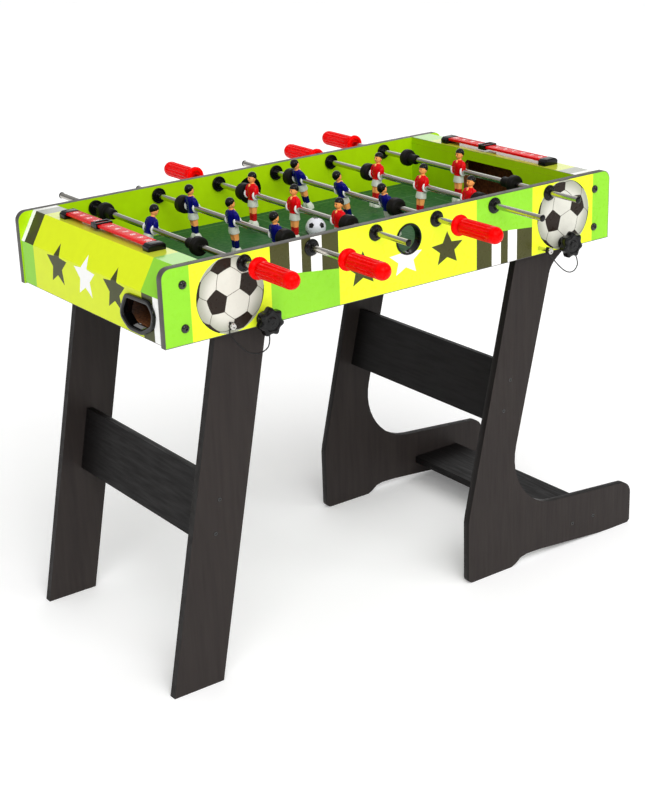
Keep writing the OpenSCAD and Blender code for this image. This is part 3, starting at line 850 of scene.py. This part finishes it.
def make_field_print():
    lines = [strip((0, -SIDE_LINE_Y), (0, SIDE_LINE_Y))]
    for end in (-1, 1):
        goal_line = end * GOAL_LINE_X
        for reach, half in BOXES:
            x = end * (FIELD_END - reach)
            lines += [strip((goal_line, -half), (x, -half)), strip((x, -half), (x, half))]
            lines += [strip((x, half), (goal_line, half))]
        lines.append(strip((goal_line, -SIDE_LINE_Y), (goal_line, SIDE_LINE_Y)))
    for y in (-SIDE_LINE_Y, SIDE_LINE_Y):
        lines.append(strip((-GOAL_LINE_X, y), (GOAL_LINE_X, y)))
    ring = circle((0, 0), CENTRE_CIRCLE, 64)
    lines += [strip(a, b) for a, b in zip(ring, ring[1:] + ring[:1])]
    lines.append(circle((0, 0), CENTRE_SPOT, 20))
    shape = sheet(
        area(-FIELD_END + 0.5, FIELD_END - 0.5, -INNER_Y + 0.5, INNER_Y - 0.5), [],
        [(line, 1) for line in lines], lambda u, v, h: (u, v, FIELD_Z + h * 0.5),
    )
    piece("playfield_print", shape, ["field_green", "field_line"], "root", sharp=20)


make_inside()
make_field_print()

# ---- Return ports ----


# How far the rim is drawn in, and how far in along X it lies
PORT_RIM = [
    (0, -0.2), (0, -3.6), (0.5, -4.6), (1.6, -5), (5.4, -5), (6.6, -4.6), (7.4, -3.6), (8, 0),
    (8, 12), (5.2, 12), (5.2, 0),
]
# The two screw bosses on the rim
BOSS = [(0, 0), (0, 2.2), (1.2, 2.4), (1.8, 1.4), (1.8, 0)]
BOSS_PLACES = [(-112, TABLE_HEIGHT - 92), (-206, TABLE_HEIGHT - 84)]
BOSS_FACE = -END_FACE - 4.2


def make_ports():
    outline = eased(PORT_OUTLINE, 9, steps=4, closed=True)
    rows = []
    for drawn, inward in PORT_RIM:
        rows.append([Vector((-END_FACE + inward, p.x, p.y)) for p in inset(outline, drawn)])
    shape = Shape().add(*skinned(rows, loop=True))
    boss = Shape().turn(BOSS, (0, 0, 0), sides=20)
    for y, z in BOSS_PLACES:
        shape.join(boss, lambda p: Vector((BOSS_FACE + p.y * 0.6, y + p.x, z + p.z)))
    both = Shape().join(shape).join(turned_round(shape))
    piece("return_port_frames", both, ["black_gloss"], "root", ["return_ports"])


make_ports()

# ---- Serve rings, bushings and panel bolts ----


def make_round_fittings():
    # The front ring is open. The back one is a cap, with a shallow dish in its face.
    rings = Shape()
    rim = [(2.5, 23.8), (2.5, 25.4), (1.6, 26), (0, 26), (0, 24.5), (-12, 24.5)]
    at = Vector((SERVE_AT[0], -HALF_WIDTH, SERVE_AT[1]))
    rings.turn([(-12, 23), (2.0, 23), *rim], at, sides=72, ease=0.4, loop=True)
    at.y = HALF_WIDTH
    rings.turn([(1.5, 0), (1.5, 21), (2.2, 22.4), *rim], at, facing=1, sides=72, ease=0.3)
    piece("serve_ring_mouldings", rings, ["black_gloss"], "root", ["serve_rings"])

    outer = [
        (0, 8), (0, 13.2), (0.8, 13.5), (2.0, 13.3), (2.8, 12.2), (3.1, 10.2), (4.4, 9.4),
        (5, 8.6), (5, 7.2), (4.4, 6.4), (4.2, BORE), (-12, BORE), (-12, 8),
    ]
    nut = [
        (0, BORE), (0, 13.3), (0.8, 13.5), (3.4, 13.5), (4.2, 12.8), (4.4, 11.6), (3.2, 10.8),
        (3.2, 9), (5, 8.4), (5, BORE),
    ]
    bushings = Shape()
    for x in ROD_X:
        bushings.turn(outer, (x, -HALF_WIDTH, ROD_Z), ease=0.3, loop=True)
        bushings.turn(nut, (x, -INNER_Y, ROD_Z), facing=1, ease=0.3, loop=True)
    piece(
        "rod_bushing_mouldings", with_twin(bushings), ["black_plastic"], "root",
        ["rod_bushings"],
    )


BOLT_RADIUS = 7
BOLT_DOME = 4
SOCKET = 2.4


def socket_head(radius, dome, socket, depth):
    """Profile of a domed head with a hexagon socket, for turned() with hexagon()."""
    curve = [(dome * math.sin(a), radius * math.cos(a) ** 0.8) for a in (0, 0.35, 0.7, 1.0)]
    rim = socket * 1.25
    return [(0, 0), *curve, (dome, rim), (dome, socket), (dome - depth, socket), (dome - depth, 0)]


def hexagon(socket):
    """Makes radii up to the socket's follow a hexagon."""
    def reach(along, radius, angle):
        if radius > socket + 0.01 or along < 0.01:
            return radius
        sector = (angle + math.pi / 6) % (math.pi / 3) - math.pi / 6
        return radius * math.cos(math.pi / 6) / math.cos(sector)
    return reach


def make_bolts():
    shape = Shape()
    head = socket_head(BOLT_RADIUS, BOLT_DOME, SOCKET, depth=2)
    for x, z in BOLTS:
        at = (x, -HALF_WIDTH - SHEET_OVER + 0.1, z)
        shape.turn(head, at, sides=36, reach=hexagon(SOCKET))
    piece(
        "panel_bolt_heads", with_twin(shape), ["bolt_black"], "root",
        ["panel_bolts"], sharp=30,
    )


make_round_fittings()
make_bolts()

# ---- Score counters ----

COUNTER_X = 405.5
COUNTER_LOW, COUNTER_HIGH = TABLE_HEIGHT + 6.5, TABLE_HEIGHT + 11
COUNTER_HALF = 142
CAP_OUTLINE = [(-16, 0), (16, 0), (16, 8), (11, 12), (-11, 12), (-16, 8)]
SLIDER_Y = 28
SLEEVE_WALL = 2.5
SLEEVE_ROOM = 0.4
# How far a band's outline is drawn in, and how far in from its end
BAND_EDGE = [(0.9, 0), (0.25, 0.25), (0, 0.9)]
SCORE_STEP = 22.9


def text_shape(words, size, depth):
    """A number as a solid, its middle at the origin and its face on top."""
    text = bpy.data.curves.new("number", "FONT")
    text.body = words
    text.size = size
    text.extrude = depth / 2
    text.align_x = "CENTER"
    text.align_y = "CENTER"
    holder = bpy.data.objects.new("number", text)
    bpy.context.scene.collection.objects.link(holder)
    bpy.context.view_layer.update()
    graph = bpy.context.evaluated_depsgraph_get()
    mesh = bpy.data.meshes.new_from_object(holder.evaluated_get(graph))
    shape = Shape().add([v.co for v in mesh.vertices], [list(p.vertices) for p in mesh.polygons])
    bpy.data.objects.remove(holder)
    bpy.data.meshes.remove(mesh)
    return shape


def rectangle(u, v, half_u, half_v, corner):
    return eased(area(u - half_u, u + half_u, v - half_v, v + half_v), corner, closed=True)


def make_counters():
    bars, caps = Shape(), Shape()
    bar = rectangle(0, 0, 12, COUNTER_HALF - 8, 1)
    bars.plate(0, bar, COUNTER_LOW, COUNTER_HIGH, 0.8)
    for score in range(11):
        y = (score - 5) * SCORE_STEP
        tile = rectangle(0, y, 7.6, 9.6, 1.2)
        bars.plate(1, tile, COUNTER_HIGH - 0.2, COUNTER_HIGH + 0.15, 0.1)
        number = text_shape(str(10 - score), 13, 0.5)
        number.marks = [2] * len(number.faces)
        bars.join(number, lambda p: Vector((p.y, y - p.x, COUNTER_HIGH + 0.1 + p.z)))
    cap = eased([(x, TABLE_HEIGHT + z) for x, z in CAP_OUTLINE], 1.5, closed=True)
    caps.plate(3, cap, COUNTER_HALF - 18, COUNTER_HALF, 1.4, lambda u, v, h: (u, -h, v))
    dish = rectangle(0, COUNTER_HALF - 9, 8.5, 5.4, 1.6)
    caps.plate(
        3, dish, TABLE_HEIGHT + 11.6, TABLE_HEIGHT + 12.3, 0.3, lambda u, v, h: (u, -v, h)
    )
    joined = bars.join(with_twin(caps))
    both = Shape()
    for side in (-1, 1):
        both.join(joined, lambda p: Vector((side * (COUNTER_X - p.x), -side * p.y, p.z)))
    paints = ["counter_red", "tile_pink", "digit_white", "black_gloss"]
    piece("score_counter_bars", both, paints, "root", ["score_counters"], sharp=35)


def end_band(outer, inner, y0, y1):
    """A band of the sleeve from y0 to y1, its outer edges rounded."""
    rows = []
    for drawn, inward in BAND_EDGE:
        rows.append([Vector((p.x, y0 + inward, p.y)) for p in inset(outer, drawn)])
    for drawn, inward in reversed(BAND_EDGE):
        rows.append([Vector((p.x, y1 - inward, p.y)) for p in inset(outer, drawn)])
    for y in (y1, y0):
        rows.append([Vector((p.x, y, p.y)) for p in inner])
    return skinned(rows, loop=True)


def make_sliders():
    """Each slider is a sleeve round the bar, cut at the top by its window: two end bands,
    and between them two rails and a floor."""
    low, high = COUNTER_LOW - SLEEVE_WALL, COUNTER_HIGH + SLEEVE_WALL
    room_low, room_high = COUNTER_LOW - SLEEVE_ROOM, COUNTER_HIGH + SLEEVE_ROOM
    outer = eased(area(-15, 15, low, high), 1.4, closed=True)
    inner = eased(area(-12.4, 12.4, room_low, room_high), 0.6, closed=True)
    walls = Shape()
    for y0, y1 in ((-9, -4.5), (4.5, 9)):
        walls.add(*end_band(outer, inner, SLIDER_Y + y0, SLIDER_Y + y1))

    def along_bar(u, v, h):
        return (u, SLIDER_Y + v, h)

    for rail in (-1, 1):
        outline = rectangle(rail * 13.35, 0, 1.65, 5.5, 0.2)
        walls.plate(0, outline, low + 0.2, high - 0.15, 0.4, along_bar)
    walls.plate(0, rectangle(0, 0, 14, 5.5, 0.2), low + 0.2, room_low, 0.3, along_bar)
    for end, x0 in (("left", -COUNTER_X), ("right", COUNTER_X)):
        shape = Shape().join(walls, lambda p: Vector((p.x + x0, p.y, p.z)))
        piece(
            f"{end}_slider_frame", shape, ["black_gloss"], f"{end}_score",
            [f"{end}_score_slider"], sharp=35,
        )


make_counters()
make_sliders()

# ---- Ball ----

BALL_AT = (0, 15, FIELD_Z + 18)
BALL_RADIUS = 18
SEAM_DEPTH = 0.16
PANEL_RINGS = 6
PENTAGON_RINGS = 5
BALL_PENTAGON = (-0.805, -0.404, 0.435)
BALL_NEIGHBOUR = (0.174, -0.909, 0.374)


def make_ball():
    """Panels of the ball, each crowned a little between sunken seams."""
    shape = Shape()
    for is_pentagon, corners in football(BALL_PENTAGON, BALL_NEIGHBOUR):
        sides = zip(corners, corners[1:] + corners[:1])
        edge = [p for a, b in sides for p in arc_points(a, b, 6)[:-1]]
        middle = sum(corners, Vector()).normalized()
        rows = [[middle * BALL_RADIUS]]
        for i in range(1, PANEL_RINGS + 1):
            share = (i / PANEL_RINGS) ** 0.8
            radius = BALL_RADIUS - SEAM_DEPTH * max(0, (share - 0.78) / 0.22) ** 2
            rows.append([(middle * (1 - share) + p * share).normalized() * radius for p in edge])
        points, faces = skinned(rows)
        dark = (PENTAGON_RINGS if is_pentagon else 0) * len(edge)
        shape.add(points, faces[:-1], [int(i < dark) for i in range(len(faces) - 1)])
    moved = Shape().join(shape, lambda p: p + Vector(BALL_AT))
    paints = ["ball_white", "ball_black"]
    made = piece("ball_panels", moved, paints, "ball", ["ball"], sharp=80)
    weld = bmesh.new()
    weld.from_mesh(made.data)
    bmesh.ops.remove_doubles(weld, verts=weld.verts, dist=1e-6)
    bmesh.ops.recalc_face_normals(weld, faces=weld.faces)
    weld.to_mesh(made.data)
    weld.free()


make_ball()

# ---- Men ----


def oval(x, y, z, rx, ry, power=2.0, sides=24):
    """A level ring, an ellipse at power 2 and squarer above it."""
    row = []
    for i in range(sides):
        angle = math.tau * i / sides
        c, s = math.cos(angle), math.sin(angle)
        row.append(Vector((
            x + rx * math.copysign(abs(c) ** (2 / power), c),
            y + ry * math.copysign(abs(s) ** (2 / power), s), z,
        )))
    return row


def ellipsoid(centre, size, steps, sides):
    """An ellipsoid with its own half-sizes along X, Y and Z."""
    x, y, z = centre
    rows = []
    for i in range(steps + 1):
        tilt = math.pi * i / steps
        r, level = math.sin(tilt), z - math.cos(tilt) * size[2]
        tip = i in (0, steps)
        ring = oval(x, y, level, r * size[0], r * size[1], sides=sides)
        rows.append([Vector((x, y, level))] if tip else ring)
    return skinned(rows)


SKIN, HAIR, SHIRT, SOCK, SHORTS, SHOE, CUFF, FEATURE, LIPS = range(9)
KIT_PAINTS = ["shorts_white", "shoe_white", "cuff_white", "face_dark", "lip_pink"]
HAIR_AT = Vector((-0.5, 0, 31.2))
HAIR_SIZE = (8.3, 7.5, 8.7)
HAIR_LEAN = math.radians(-12)
HAIR_STEPS = 9
CUFF_RING = [(0, BORE), (0, 7.6), (0.8, 8.8), (2.6, 8.8), (3.2, 8), (3.2, BORE)]
CUFF_THINNING = 1.6


def head_shape():
    """Head, neck, ears and a plain face."""
    shape = Shape()
    shape.loft(SKIN, [(-0.2, 0, 15, 4.4, 4.4), (0.2, 0, 20, 3.8, 3.9), (0.2, 0, 23.5, 4.0, 4.0)])
    shape.loft(SKIN, [
        (1.2, 0, 21.4, 2.2, 2.4, 2), (1.0, 0, 22.1, 4.4, 3.9, 2.2), (0.8, 0, 23.6, 5.9, 5.0, 2.3),
        (0.5, 0, 26, 6.8, 6.0, 2.3), (0.2, 0, 29, 7.2, 6.5, 2.2), (0, 0, 32.5, 7.3, 6.7, 2.1),
        (-0.2, 0, 35.5, 6.6, 6.1, 2), (-0.4, 0, 37.4, 4.8, 4.5, 2), (-0.4, 0, 38.4, 2, 2, 2),
    ])
    for side in (-1, 1):
        shape.egg(SKIN, (-0.4, side * 6.6, 28), (1.4, 0.9, 2.0))
        shape.egg(FEATURE, (6.9, side * 2.6, 28.8), (0.7, 1.0, 0.6), 6, 10)
        shape.egg(FEATURE, (7.0, side * 2.6, 30.2), (0.6, 1.5, 0.35), 6, 10)
    shape.egg(SKIN, (7.5, 0, 27.0), (1.2, 0.9, 1.6))
    shape.egg(LIPS, (6.6, 0, 24.4), (0.6, 1.6, 0.45), 6, 10)
    return shape


def hair_shape():
    """Rings about an axis that leans back, deep at the nape and short on the forehead."""
    tilt = Matrix.Rotation(HAIR_LEAN, 3, "Y")
    rx, ry, rz = HAIR_SIZE
    rows = [[HAIR_AT + tilt @ Vector((0, 0, rz))]]
    for i in range(1, HAIR_STEPS + 2):
        row = []
        for j in range(32):
            turn = math.tau * j / 32
            front, behind = max(0, math.cos(turn)), max(0, -math.cos(turn))
            burn = math.exp(-((math.cos(turn) + 0.02) / 0.14) ** 2)
            limit = math.radians(88 + 30 * behind ** 0.8 + 5 * front ** 2 + 20 * burn)
            angle = limit * min(i, HAIR_STEPS) / HAIR_STEPS
            swell = 1 if i <= HAIR_STEPS else 0.88
            out = Vector((
                rx * math.sin(angle) * math.cos(turn), ry * math.sin(angle) * math.sin(turn),
                rz * math.cos(angle),
            ))
            row.append(HAIR_AT + tilt @ (out * swell))
        rows.append(row)
    return Shape().add(*skinned(rows), HAIR)


def leg_shape(side):
    """A sock, and the knee and thigh above it."""
    y = side * 3.5
    shape = Shape()
    shape.loft(SOCK, [
        (0, y, -49, 3.7, 3.2, 2.2), (0, y, -46, 3.9, 3.4, 2.2), (-0.3, y, -41, 4.7, 3.8, 2.2),
        (0, y, -35.6, 4.5, 3.8, 2.2), (0, y, -34.8, 4.9, 4.0, 2.2), (0, y, -33.6, 4.9, 4.0, 2.2),
        (0, y, -33, 4.4, 3.7, 2.2),
    ])
    return shape.loft(SKIN, [
        (0, y, -34.6, 4.3, 3.7, 2.2), (0.3, y, -31.5, 4.9, 3.9, 2.2),
        (0, y * 1.04, -26, 5.3, 4.2, 2.2), (0, y * 1.08, -19, 6.0, 4.4, 2.2),
    ])


def open_behind(along, radius, angle):
    """Thins a cuff at the back of its rod, into a crescent."""
    return radius - CUFF_THINNING * max(0, -math.sin(angle)) if radius > 5.5 else radius


def man_shape():
    """A man about the axis of his rod, facing +X."""
    shape = head_shape().join(hair_shape())
    shape.loft(SHIRT, [
        (-0.2, 0, -8.6, 6.4, 7.8, 2.6), (0, 0, -5, 6.9, 8.3, 2.6), (0.2, 0, 0, 7.4, 9.0, 2.6),
        (0.5, 0, 6, 8.0, 10.0, 2.6), (0.6, 0, 10.5, 8.1, 10.8, 2.5), (0.2, 0, 14, 7.2, 10.6, 2.3),
        (-0.2, 0, 17, 5.8, 8.4, 2.1), (-0.3, 0, 19.2, 4.4, 5.2, 2),
    ])
    # The open neck of the shirt, and its hem
    shape.egg(SKIN, (4.9, 0, 15.8), (3.2, 2.2, 3.4), 8, 14)
    shape.loft(SHIRT, [
        (-0.2, 0, -9.4, 6.6, 8.2, 2.7), (-0.2, 0, -9, 7.3, 8.9, 2.7),
        (-0.1, 0, -7.6, 7.2, 8.8, 2.7), (0, 0, -7, 6.7, 8.2, 2.7),
    ])
    shape.loft(SHORTS, [
        (0, 0, -21.8, 6.8, 8.6, 2.6), (0, 0, -21.2, 8.0, 9.8, 2.6), (0, 0, -19.8, 8.1, 9.9, 2.6),
        (-0.1, 0, -14, 7.4, 9.2, 2.7), (-0.2, 0, -8, 6.6, 8.3, 2.7),
    ])
    for side in (-1, 1):
        shape.join(leg_shape(side))
        shape.loft(SHIRT, [
            (-0.2, side * 8.0, 17.6, 2.4, 2.0), (0, side * 9.6, 16, 4.0, 3.2),
            (0.3, side * 11.2, 12.5, 4.9, 3.9), (0.8, side * 12, 8, 5.5, 4.1),
            (1.2, side * 12.2, 3.5, 6.1, 3.6), (1.2, side * 11.8, 0, 6.2, 3.2),
            (0.8, side * 11, -4, 5.2, 2.6), (0.2, side * 9.4, -7, 3.4, 1.6),
        ])
        shape.turn(
            CUFF_RING, (0.4, side * 11, 0), CUFF, facing=side, sides=32, ease=0.7, loop=True,
            reach=open_behind,
        )
        shape.loft(SHOE, [
            (0.4, side * 4.2, -60, 4.6, 4.8, 4), (0.4, side * 4.9, -59.2, 6.2, 5.8, 4),
            (0.4, side * 5.1, -54, 6.7, 5.5, 4), (0.2, side * 4.4, -49.5, 5.6, 4.8, 3),
            (0, side * 3.8, -47, 4.7, 4.0, 2.4), (0, side * 3.6, -46.4, 4.0, 3.4, 2.2),
        ])
    return shape


def make_men():
    man = man_shape()
    for k in RODS:
        turn = Matrix.Rotation(math.radians(ROD_TURNED[k]), 3, "Y")
        face = ROD_FACING[k]
        team = Shape()
        for y in MAN_PLACES[k]:
            place = Vector((ROD_X[k], ROD_SLID[k] + y, ROD_Z))
            team.join(man, lambda p: place + turn @ Vector((p.x * face, p.y * face, p.z)))
        colour = "blue" if face > 0 else "red"
        paints = ["skin", "hair_black", f"shirt_{colour}", f"sock_{colour}", *KIT_PAINTS]
        rod = f"rod_{k + 1}"
        piece(f"{rod}_players", team, paints, rod, [f"{rod}_men"], sharp=50)


make_men()

# ---- Rods, handles, bumpers and caps ----

FLUTES = 14
FLUTE_SIDES = 12
FLUTE_DEPTH = 1.5
FLUTED = (17, 84)
FLUTE_FADE = 5
GRIP_NECK = 12.6
GRIP_RADIUS = 14
GRIP_HEAD = [
    (8, 0), (8, 5), (4, 5), (4, 9.4), (0.6, 10), (0, 10.6), (0, 13.8), (0.6, 15.4), (2, 16.9),
    (4, 17.5), (6, 17.4), (7.8, 16.2), (8.8, 14.4), (9.6, 12.8), (11, 12.1), (13.5, 12.2),
    (16, 13.2), (18, 13.9),
]
BAR_LENGTH = BARE_END_AT + HANDLE_AT + 70
BAR = [(0, 0), (0, 4.6), (0.4, 5), (BAR_LENGTH, 5), (BAR_LENGTH, 0)]
CAP = [(2.4, 0), (2.3, 2.6), (1.9, 4.6), (1.2, 5.6), (0.6, 5.8), (0, 5.6), (0, 4.8), (0, 0)]
KEEPER_BUMPER = [
    (4.5, BORE), (4.5, 11), (4.0, 13.4), (2.6, 15), (0.6, 15.5), (-6, 15.5), (-8.2, 15),
    (-9.6, 13.4), (-10, 11), (-10.6, 9.4), (-12.4, 9), (-28.6, 9), (-30.4, 8.5), (-31, 7.2),
    (-31, BORE),
]
BUMPER = [
    (11, BORE), (11, 10.6), (10.4, 13), (8.6, 14.9), (6, 15.5), (-4, 15.5), (-6.6, 14.9),
    (-8.4, 13), (-9, 10.6), (-9, BORE),
]


def fluted(along, radius, angle):
    """The grip's flutes fade out at both of their ends."""
    start, end = FLUTED
    fade = min(1, max(0, (along - start) / FLUTE_FADE), max(0, (end - along) / FLUTE_FADE))
    groove = 0.5 + 0.5 * math.cos(FLUTES * angle)
    return radius - FLUTE_DEPTH * groove * fade if radius > GRIP_NECK else radius


def handle_profile():
    body = [(18 + 68 * i / 16, GRIP_RADIUS) for i in range(1, 17)]
    nose = []
    for i in range(1, 9):
        angle = math.pi / 2 * i / 8
        along = HANDLE_LENGTH - GRIP_RADIUS + GRIP_RADIUS * math.sin(angle)
        nose.append((along, GRIP_RADIUS * math.cos(angle)))
    return GRIP_HEAD + body + nose


def make_rods():
    for k in RODS:
        rod, side = f"rod_{k + 1}", HANDLE_SIDE[k]
        middle = Vector((ROD_X[k], ROD_SLID[k], ROD_Z))

        def at(along):
            return middle + Vector((0, side * along, 0))

        bar = Shape().turn(BAR, at(-BARE_END_AT), facing=side, sides=32)
        piece(f"{rod}_tube", bar, ["rod_steel"], rod, [f"{rod}_bar"])
        grip = Shape().turn(
            handle_profile(), at(HANDLE_AT), facing=side, sides=FLUTES * FLUTE_SIDES, reach=fluted
        )
        piece(f"{rod}_grip", grip, ["grip_red"], rod, [f"{rod}_handle"], sharp=50)
        stops = Shape()
        profile = KEEPER_BUMPER if k in (0, 5) else BUMPER
        for way in (-1, 1):
            stops.turn(profile, at(way * BUMPER_AT), facing=side * way, ease=0.3, loop=True)
        stops.turn(CAP, at(-BARE_END_AT), 1, facing=-side, sides=32)
        piece(
            f"{rod}_stops", stops, ["black_rubber", "black_gloss"], f"{rod}_carriage",
            [f"{rod}_bumpers"],
        )


make_rods()

# ---- Knobs, lock pins and tether rings ----

KNOB_LOBES = 7
KNOB_RADIUS = 23
KNOB_VALLEY = 18.8
KNOB_NECK = 15
KNOB = [
    (0, 0), (0, 9.4), (0.5, 10), (13.5, 10), (14.6, 11.5), (15, 14.4), (15, 16), (15.2, 20.6),
    (16, 22.2), (17.4, 23), (25.6, 23), (27.6, 22.5), (29.2, 21), (29.8, 18.8), (29.9, 16.4),
    (29.9, 14.2), (29.4, 13.6), (28.6, 13.1), (28.3, 12), (28.5, 9), (28.9, 7.8), (29.7, 7.2),
    (30, 6.2), (29.8, 2.8), (29.2, 2.2), (29.2, 0),
]
STUD = [(-30, 0), (-30, 3.4), (-29.4, 4), (2, 4), (2, 0)]
NECK_RING = [(3.7, 10.4), (3.7, 12.4), (6.2, 12.4), (6.2, 10.4)]
PIN_RING_RADIUS = 5.8
PIN_RING_WIDTH = {"left": 2.5, "right": 5}


def lobed(along, radius, angle):
    """The knob's outline: radii above the neck's follow its lobes."""
    if radius < KNOB_NECK:
        return radius
    rise = (0.5 + 0.5 * math.cos(KNOB_LOBES * angle)) ** 1.4
    return (KNOB_VALLEY + (KNOB_RADIUS - KNOB_VALLEY) * rise) * radius / KNOB_RADIUS


def make_knobs():
    for end, (x, z) in KNOBS.items():
        shape = Shape().turn(KNOB, (x, -HALF_WIDTH, z), sides=20 * KNOB_LOBES, reach=lobed)
        shape.turn(STUD, (x, -HALF_WIDTH, z), 1, sides=24)
        for side, made in (("front", shape), ("back", mirrored_y(shape))):
            name = f"knob_{side}_{end}"
            paints = ["black_plastic", "zinc"]
            piece(f"{name}_handwheel", made, paints, name, [name])


def make_pins():
    pins, rings = Shape(), Shape()
    for end, (x, z) in PINS.items():
        out, width = PIN_STANDS_OUT[end], PIN_RING_WIDTH[end]
        tip = out + PIN_HEAD_LENGTH
        pin = [
            (-12, 0), (-12, 2.4), (-11.4, 3), (out, 3), (out, 4.8), (out + 0.5, 5.3),
            (tip - 0.9, 5.3), (tip - 0.2, 4.7), (tip, 3.6), (tip, 2.2), (tip - 0.5, 1.6),
            (tip - 0.5, 0),
        ]
        pins.turn(pin, (x, -HALF_WIDTH, z), sides=32)
        ring = [
            (0, PIN_RADIUS), (0, PIN_RING_RADIUS), (-width, PIN_RING_RADIUS), (-width, PIN_RADIUS)
        ]
        y = -HALF_WIDTH - out
        rings.turn(ring, (x, y, z), sides=32, ease=0.9, loop=True)
        # The knot of the cord
        rings.egg(0, (x - 3.2, y + width / 2, z + 5.2), (1.9, width / 2, 2.1), 8, 14)
    for x, z in KNOBS.values():
        rings.turn(NECK_RING, (x, -HALF_WIDTH, z), sides=40, ease=0.8, loop=True)
    piece("lock_pin_rivets", with_twin(pins), ["zinc"], "root", ["lock_pins"])
    piece(
        "tether_ring_loops", with_twin(rings), ["black_rubber"], "root",
        ["tether_rings"],
    )


make_knobs()
make_pins()

# ---- Leg frames ----

LEG_OUT = INNER_Y - 0.4
LEG_THICKNESS = 14
SCREWS = {
    "left": [(-372, 319), (-383, 263)],
    "right": [(238.5, 369), (223.7, 314), (399, 42), (453, 42)],
}
SCREW_RADIUS = 3.75
SCREW = [
    (-34, 0), (-34, 1.8), (-2.4, 1.8), (-0.5, SCREW_RADIUS), (0.05, SCREW_RADIUS - 0.3),
    (0.1, 2.5), (-0.7, 2.2), (-0.9, 0),
]
STUD_BORE = 4.05
NUT_RADIUS = 9
WASHER_END = LEG_THICKNESS + 1.6
NUT = [
    (WASHER_END, STUD_BORE), (WASHER_END, NUT_RADIUS - 3.2), (19, NUT_RADIUS - 3.4),
    (19, STUD_BORE),
]
WASHER = [
    (LEG_THICKNESS, STUD_BORE), (LEG_THICKNESS, NUT_RADIUS), (WASHER_END, NUT_RADIUS),
    (WASHER_END, STUD_BORE),
]


def crossed(along, radius, angle):
    """Radii of a screw's recess follow a cross."""
    if not 0.5 < radius < 2.6:
        return radius
    arm = abs(math.cos(2 * angle)) ** 6
    return radius * (0.42 + 0.58 * arm)


def make_leg_frames():
    for end in ("left", "right"):
        for side in ("front", "back"):
            rounded(
                f"{end}_leg_{side}", f"{end}_{side}_leg_board", ["leg_foil", "leg_edge"],
                ease=1.2, mark=lambda normal, middle: int(abs(normal.y) <= 0.5),
            )
        # The stretcher takes the darker foil, its painted shade.
        rounded(f"{end}_stretcher", f"{end}_stretcher_board", ["shaded_cross_foil"], ease=1.2)
        frame_body = f"{end}_frame"
        screws, nuts = Shape(), Shape()
        for x, z in SCREWS[end]:
            screws.turn(SCREW, (x, -LEG_OUT, z), sides=48, reach=crossed)
        x, z = KNOBS[end]
        for profile in (NUT, WASHER):
            nuts.turn(profile, (x, -LEG_OUT, z), facing=1, ease=0.3, loop=True)
        piece(
            f"{end}_frame_screws", with_twin(screws), ["bolt_black"], frame_body,
            sharp=30,
        )
        piece(
            f"{end}_frame_nuts", with_twin(nuts), ["zinc"], frame_body,
            [f"{end}_frame_fasteners"], sharp=30,
        )
    # The foot shelf takes the darker foil, its painted shade.
    rounded("foot_shelf", "foot_shelf_board", ["shaded_cross_foil"], ease=1.2)


make_leg_frames()

# ---- Floor and light ----


FLOOR_REACH = 400
FLOOR_GLOW = 0.14
# Places, sizes and powers of the softboxes
SOFTBOXES = [((-1.2, -2.6, 2.4), 0.9, 14), ((1.9, -2.4, 2.6), 1.0, 12), ((1.9, 2.7, 2.1), 2.2, 14)]
SUN_STRENGTH = 2.15
SUN_SPREAD = math.radians(65)
SUN_DIRECTION = (0.25, 0.8, -0.65)
SKY_STRENGTH = {"From Min": 0, "From Max": 0.75, "To Min": 0.18, "To Max": 0.56}


def make_floor():
    floor = bpy.data.meshes.new("floor")
    corners = area(-FLOOR_REACH, FLOOR_REACH, -FLOOR_REACH, FLOOR_REACH)
    floor.from_pydata([(*corner, 0) for corner in corners], [], [(0, 1, 2, 3)])
    paper = surface("floor", (252, 252, 252), 0.9, vary=0.004, patch=3, bump=0.01, shine=0.05)
    shader = paper.node_tree.nodes["Principled BSDF"]
    shader.inputs["Emission Color"].default_value = (1, 1, 1, 1)
    shader.inputs["Emission Strength"].default_value = FLOOR_GLOW
    floor.materials.append(paper)
    floor_object = bpy.data.objects.new("floor", floor)
    bpy.context.scene.collection.objects.link(floor_object)


def make_sky():
    """Dim at the horizon and light overhead."""
    world = bpy.data.worlds.new("studio")
    world.use_nodes = True
    nodes, links = world.node_tree.nodes, world.node_tree.links
    direction = nodes.new("ShaderNodeTexCoord")
    parts = nodes.new("ShaderNodeSeparateXYZ")
    ramp = nodes.new("ShaderNodeMapRange")
    for socket, value in SKY_STRENGTH.items():
        ramp.inputs[socket].default_value = value
    links.new(direction.outputs["Generated"], parts.inputs["Vector"])
    links.new(parts.outputs["Z"], ramp.inputs["Value"])
    links.new(ramp.outputs["Result"], nodes["Background"].inputs["Strength"])
    nodes["Background"].inputs["Color"].default_value = (1, 1, 1, 1)
    bpy.context.scene.world = world


def add_light(lamp, direction, place=(0, 0, 0)):
    holder = bpy.data.objects.new(lamp.name, lamp)
    holder.location = place
    holder.rotation_mode = "QUATERNION"
    holder.rotation_quaternion = Vector(direction).to_track_quat("-Z", "Y")
    bpy.context.scene.collection.objects.link(holder)
    return holder


def make_lights():
    sun = bpy.data.lights.new("key", "SUN")
    sun.energy = SUN_STRENGTH
    sun.angle = SUN_SPREAD
    add_light(sun, SUN_DIRECTION).visible_glossy = False
    for number, (place, size, power) in enumerate(SOFTBOXES):
        lamp = bpy.data.lights.new(f"softbox_{number}", "AREA")
        lamp.shape = "SQUARE"
        lamp.size = size
        lamp.energy = power
        towards = Vector((0, 0, 0.5)) - Vector(place)
        add_light(lamp, towards, place).visible_camera = False
    bpy.context.scene.view_settings.view_transform = "Standard"


make_floor()
make_sky()
make_lights()
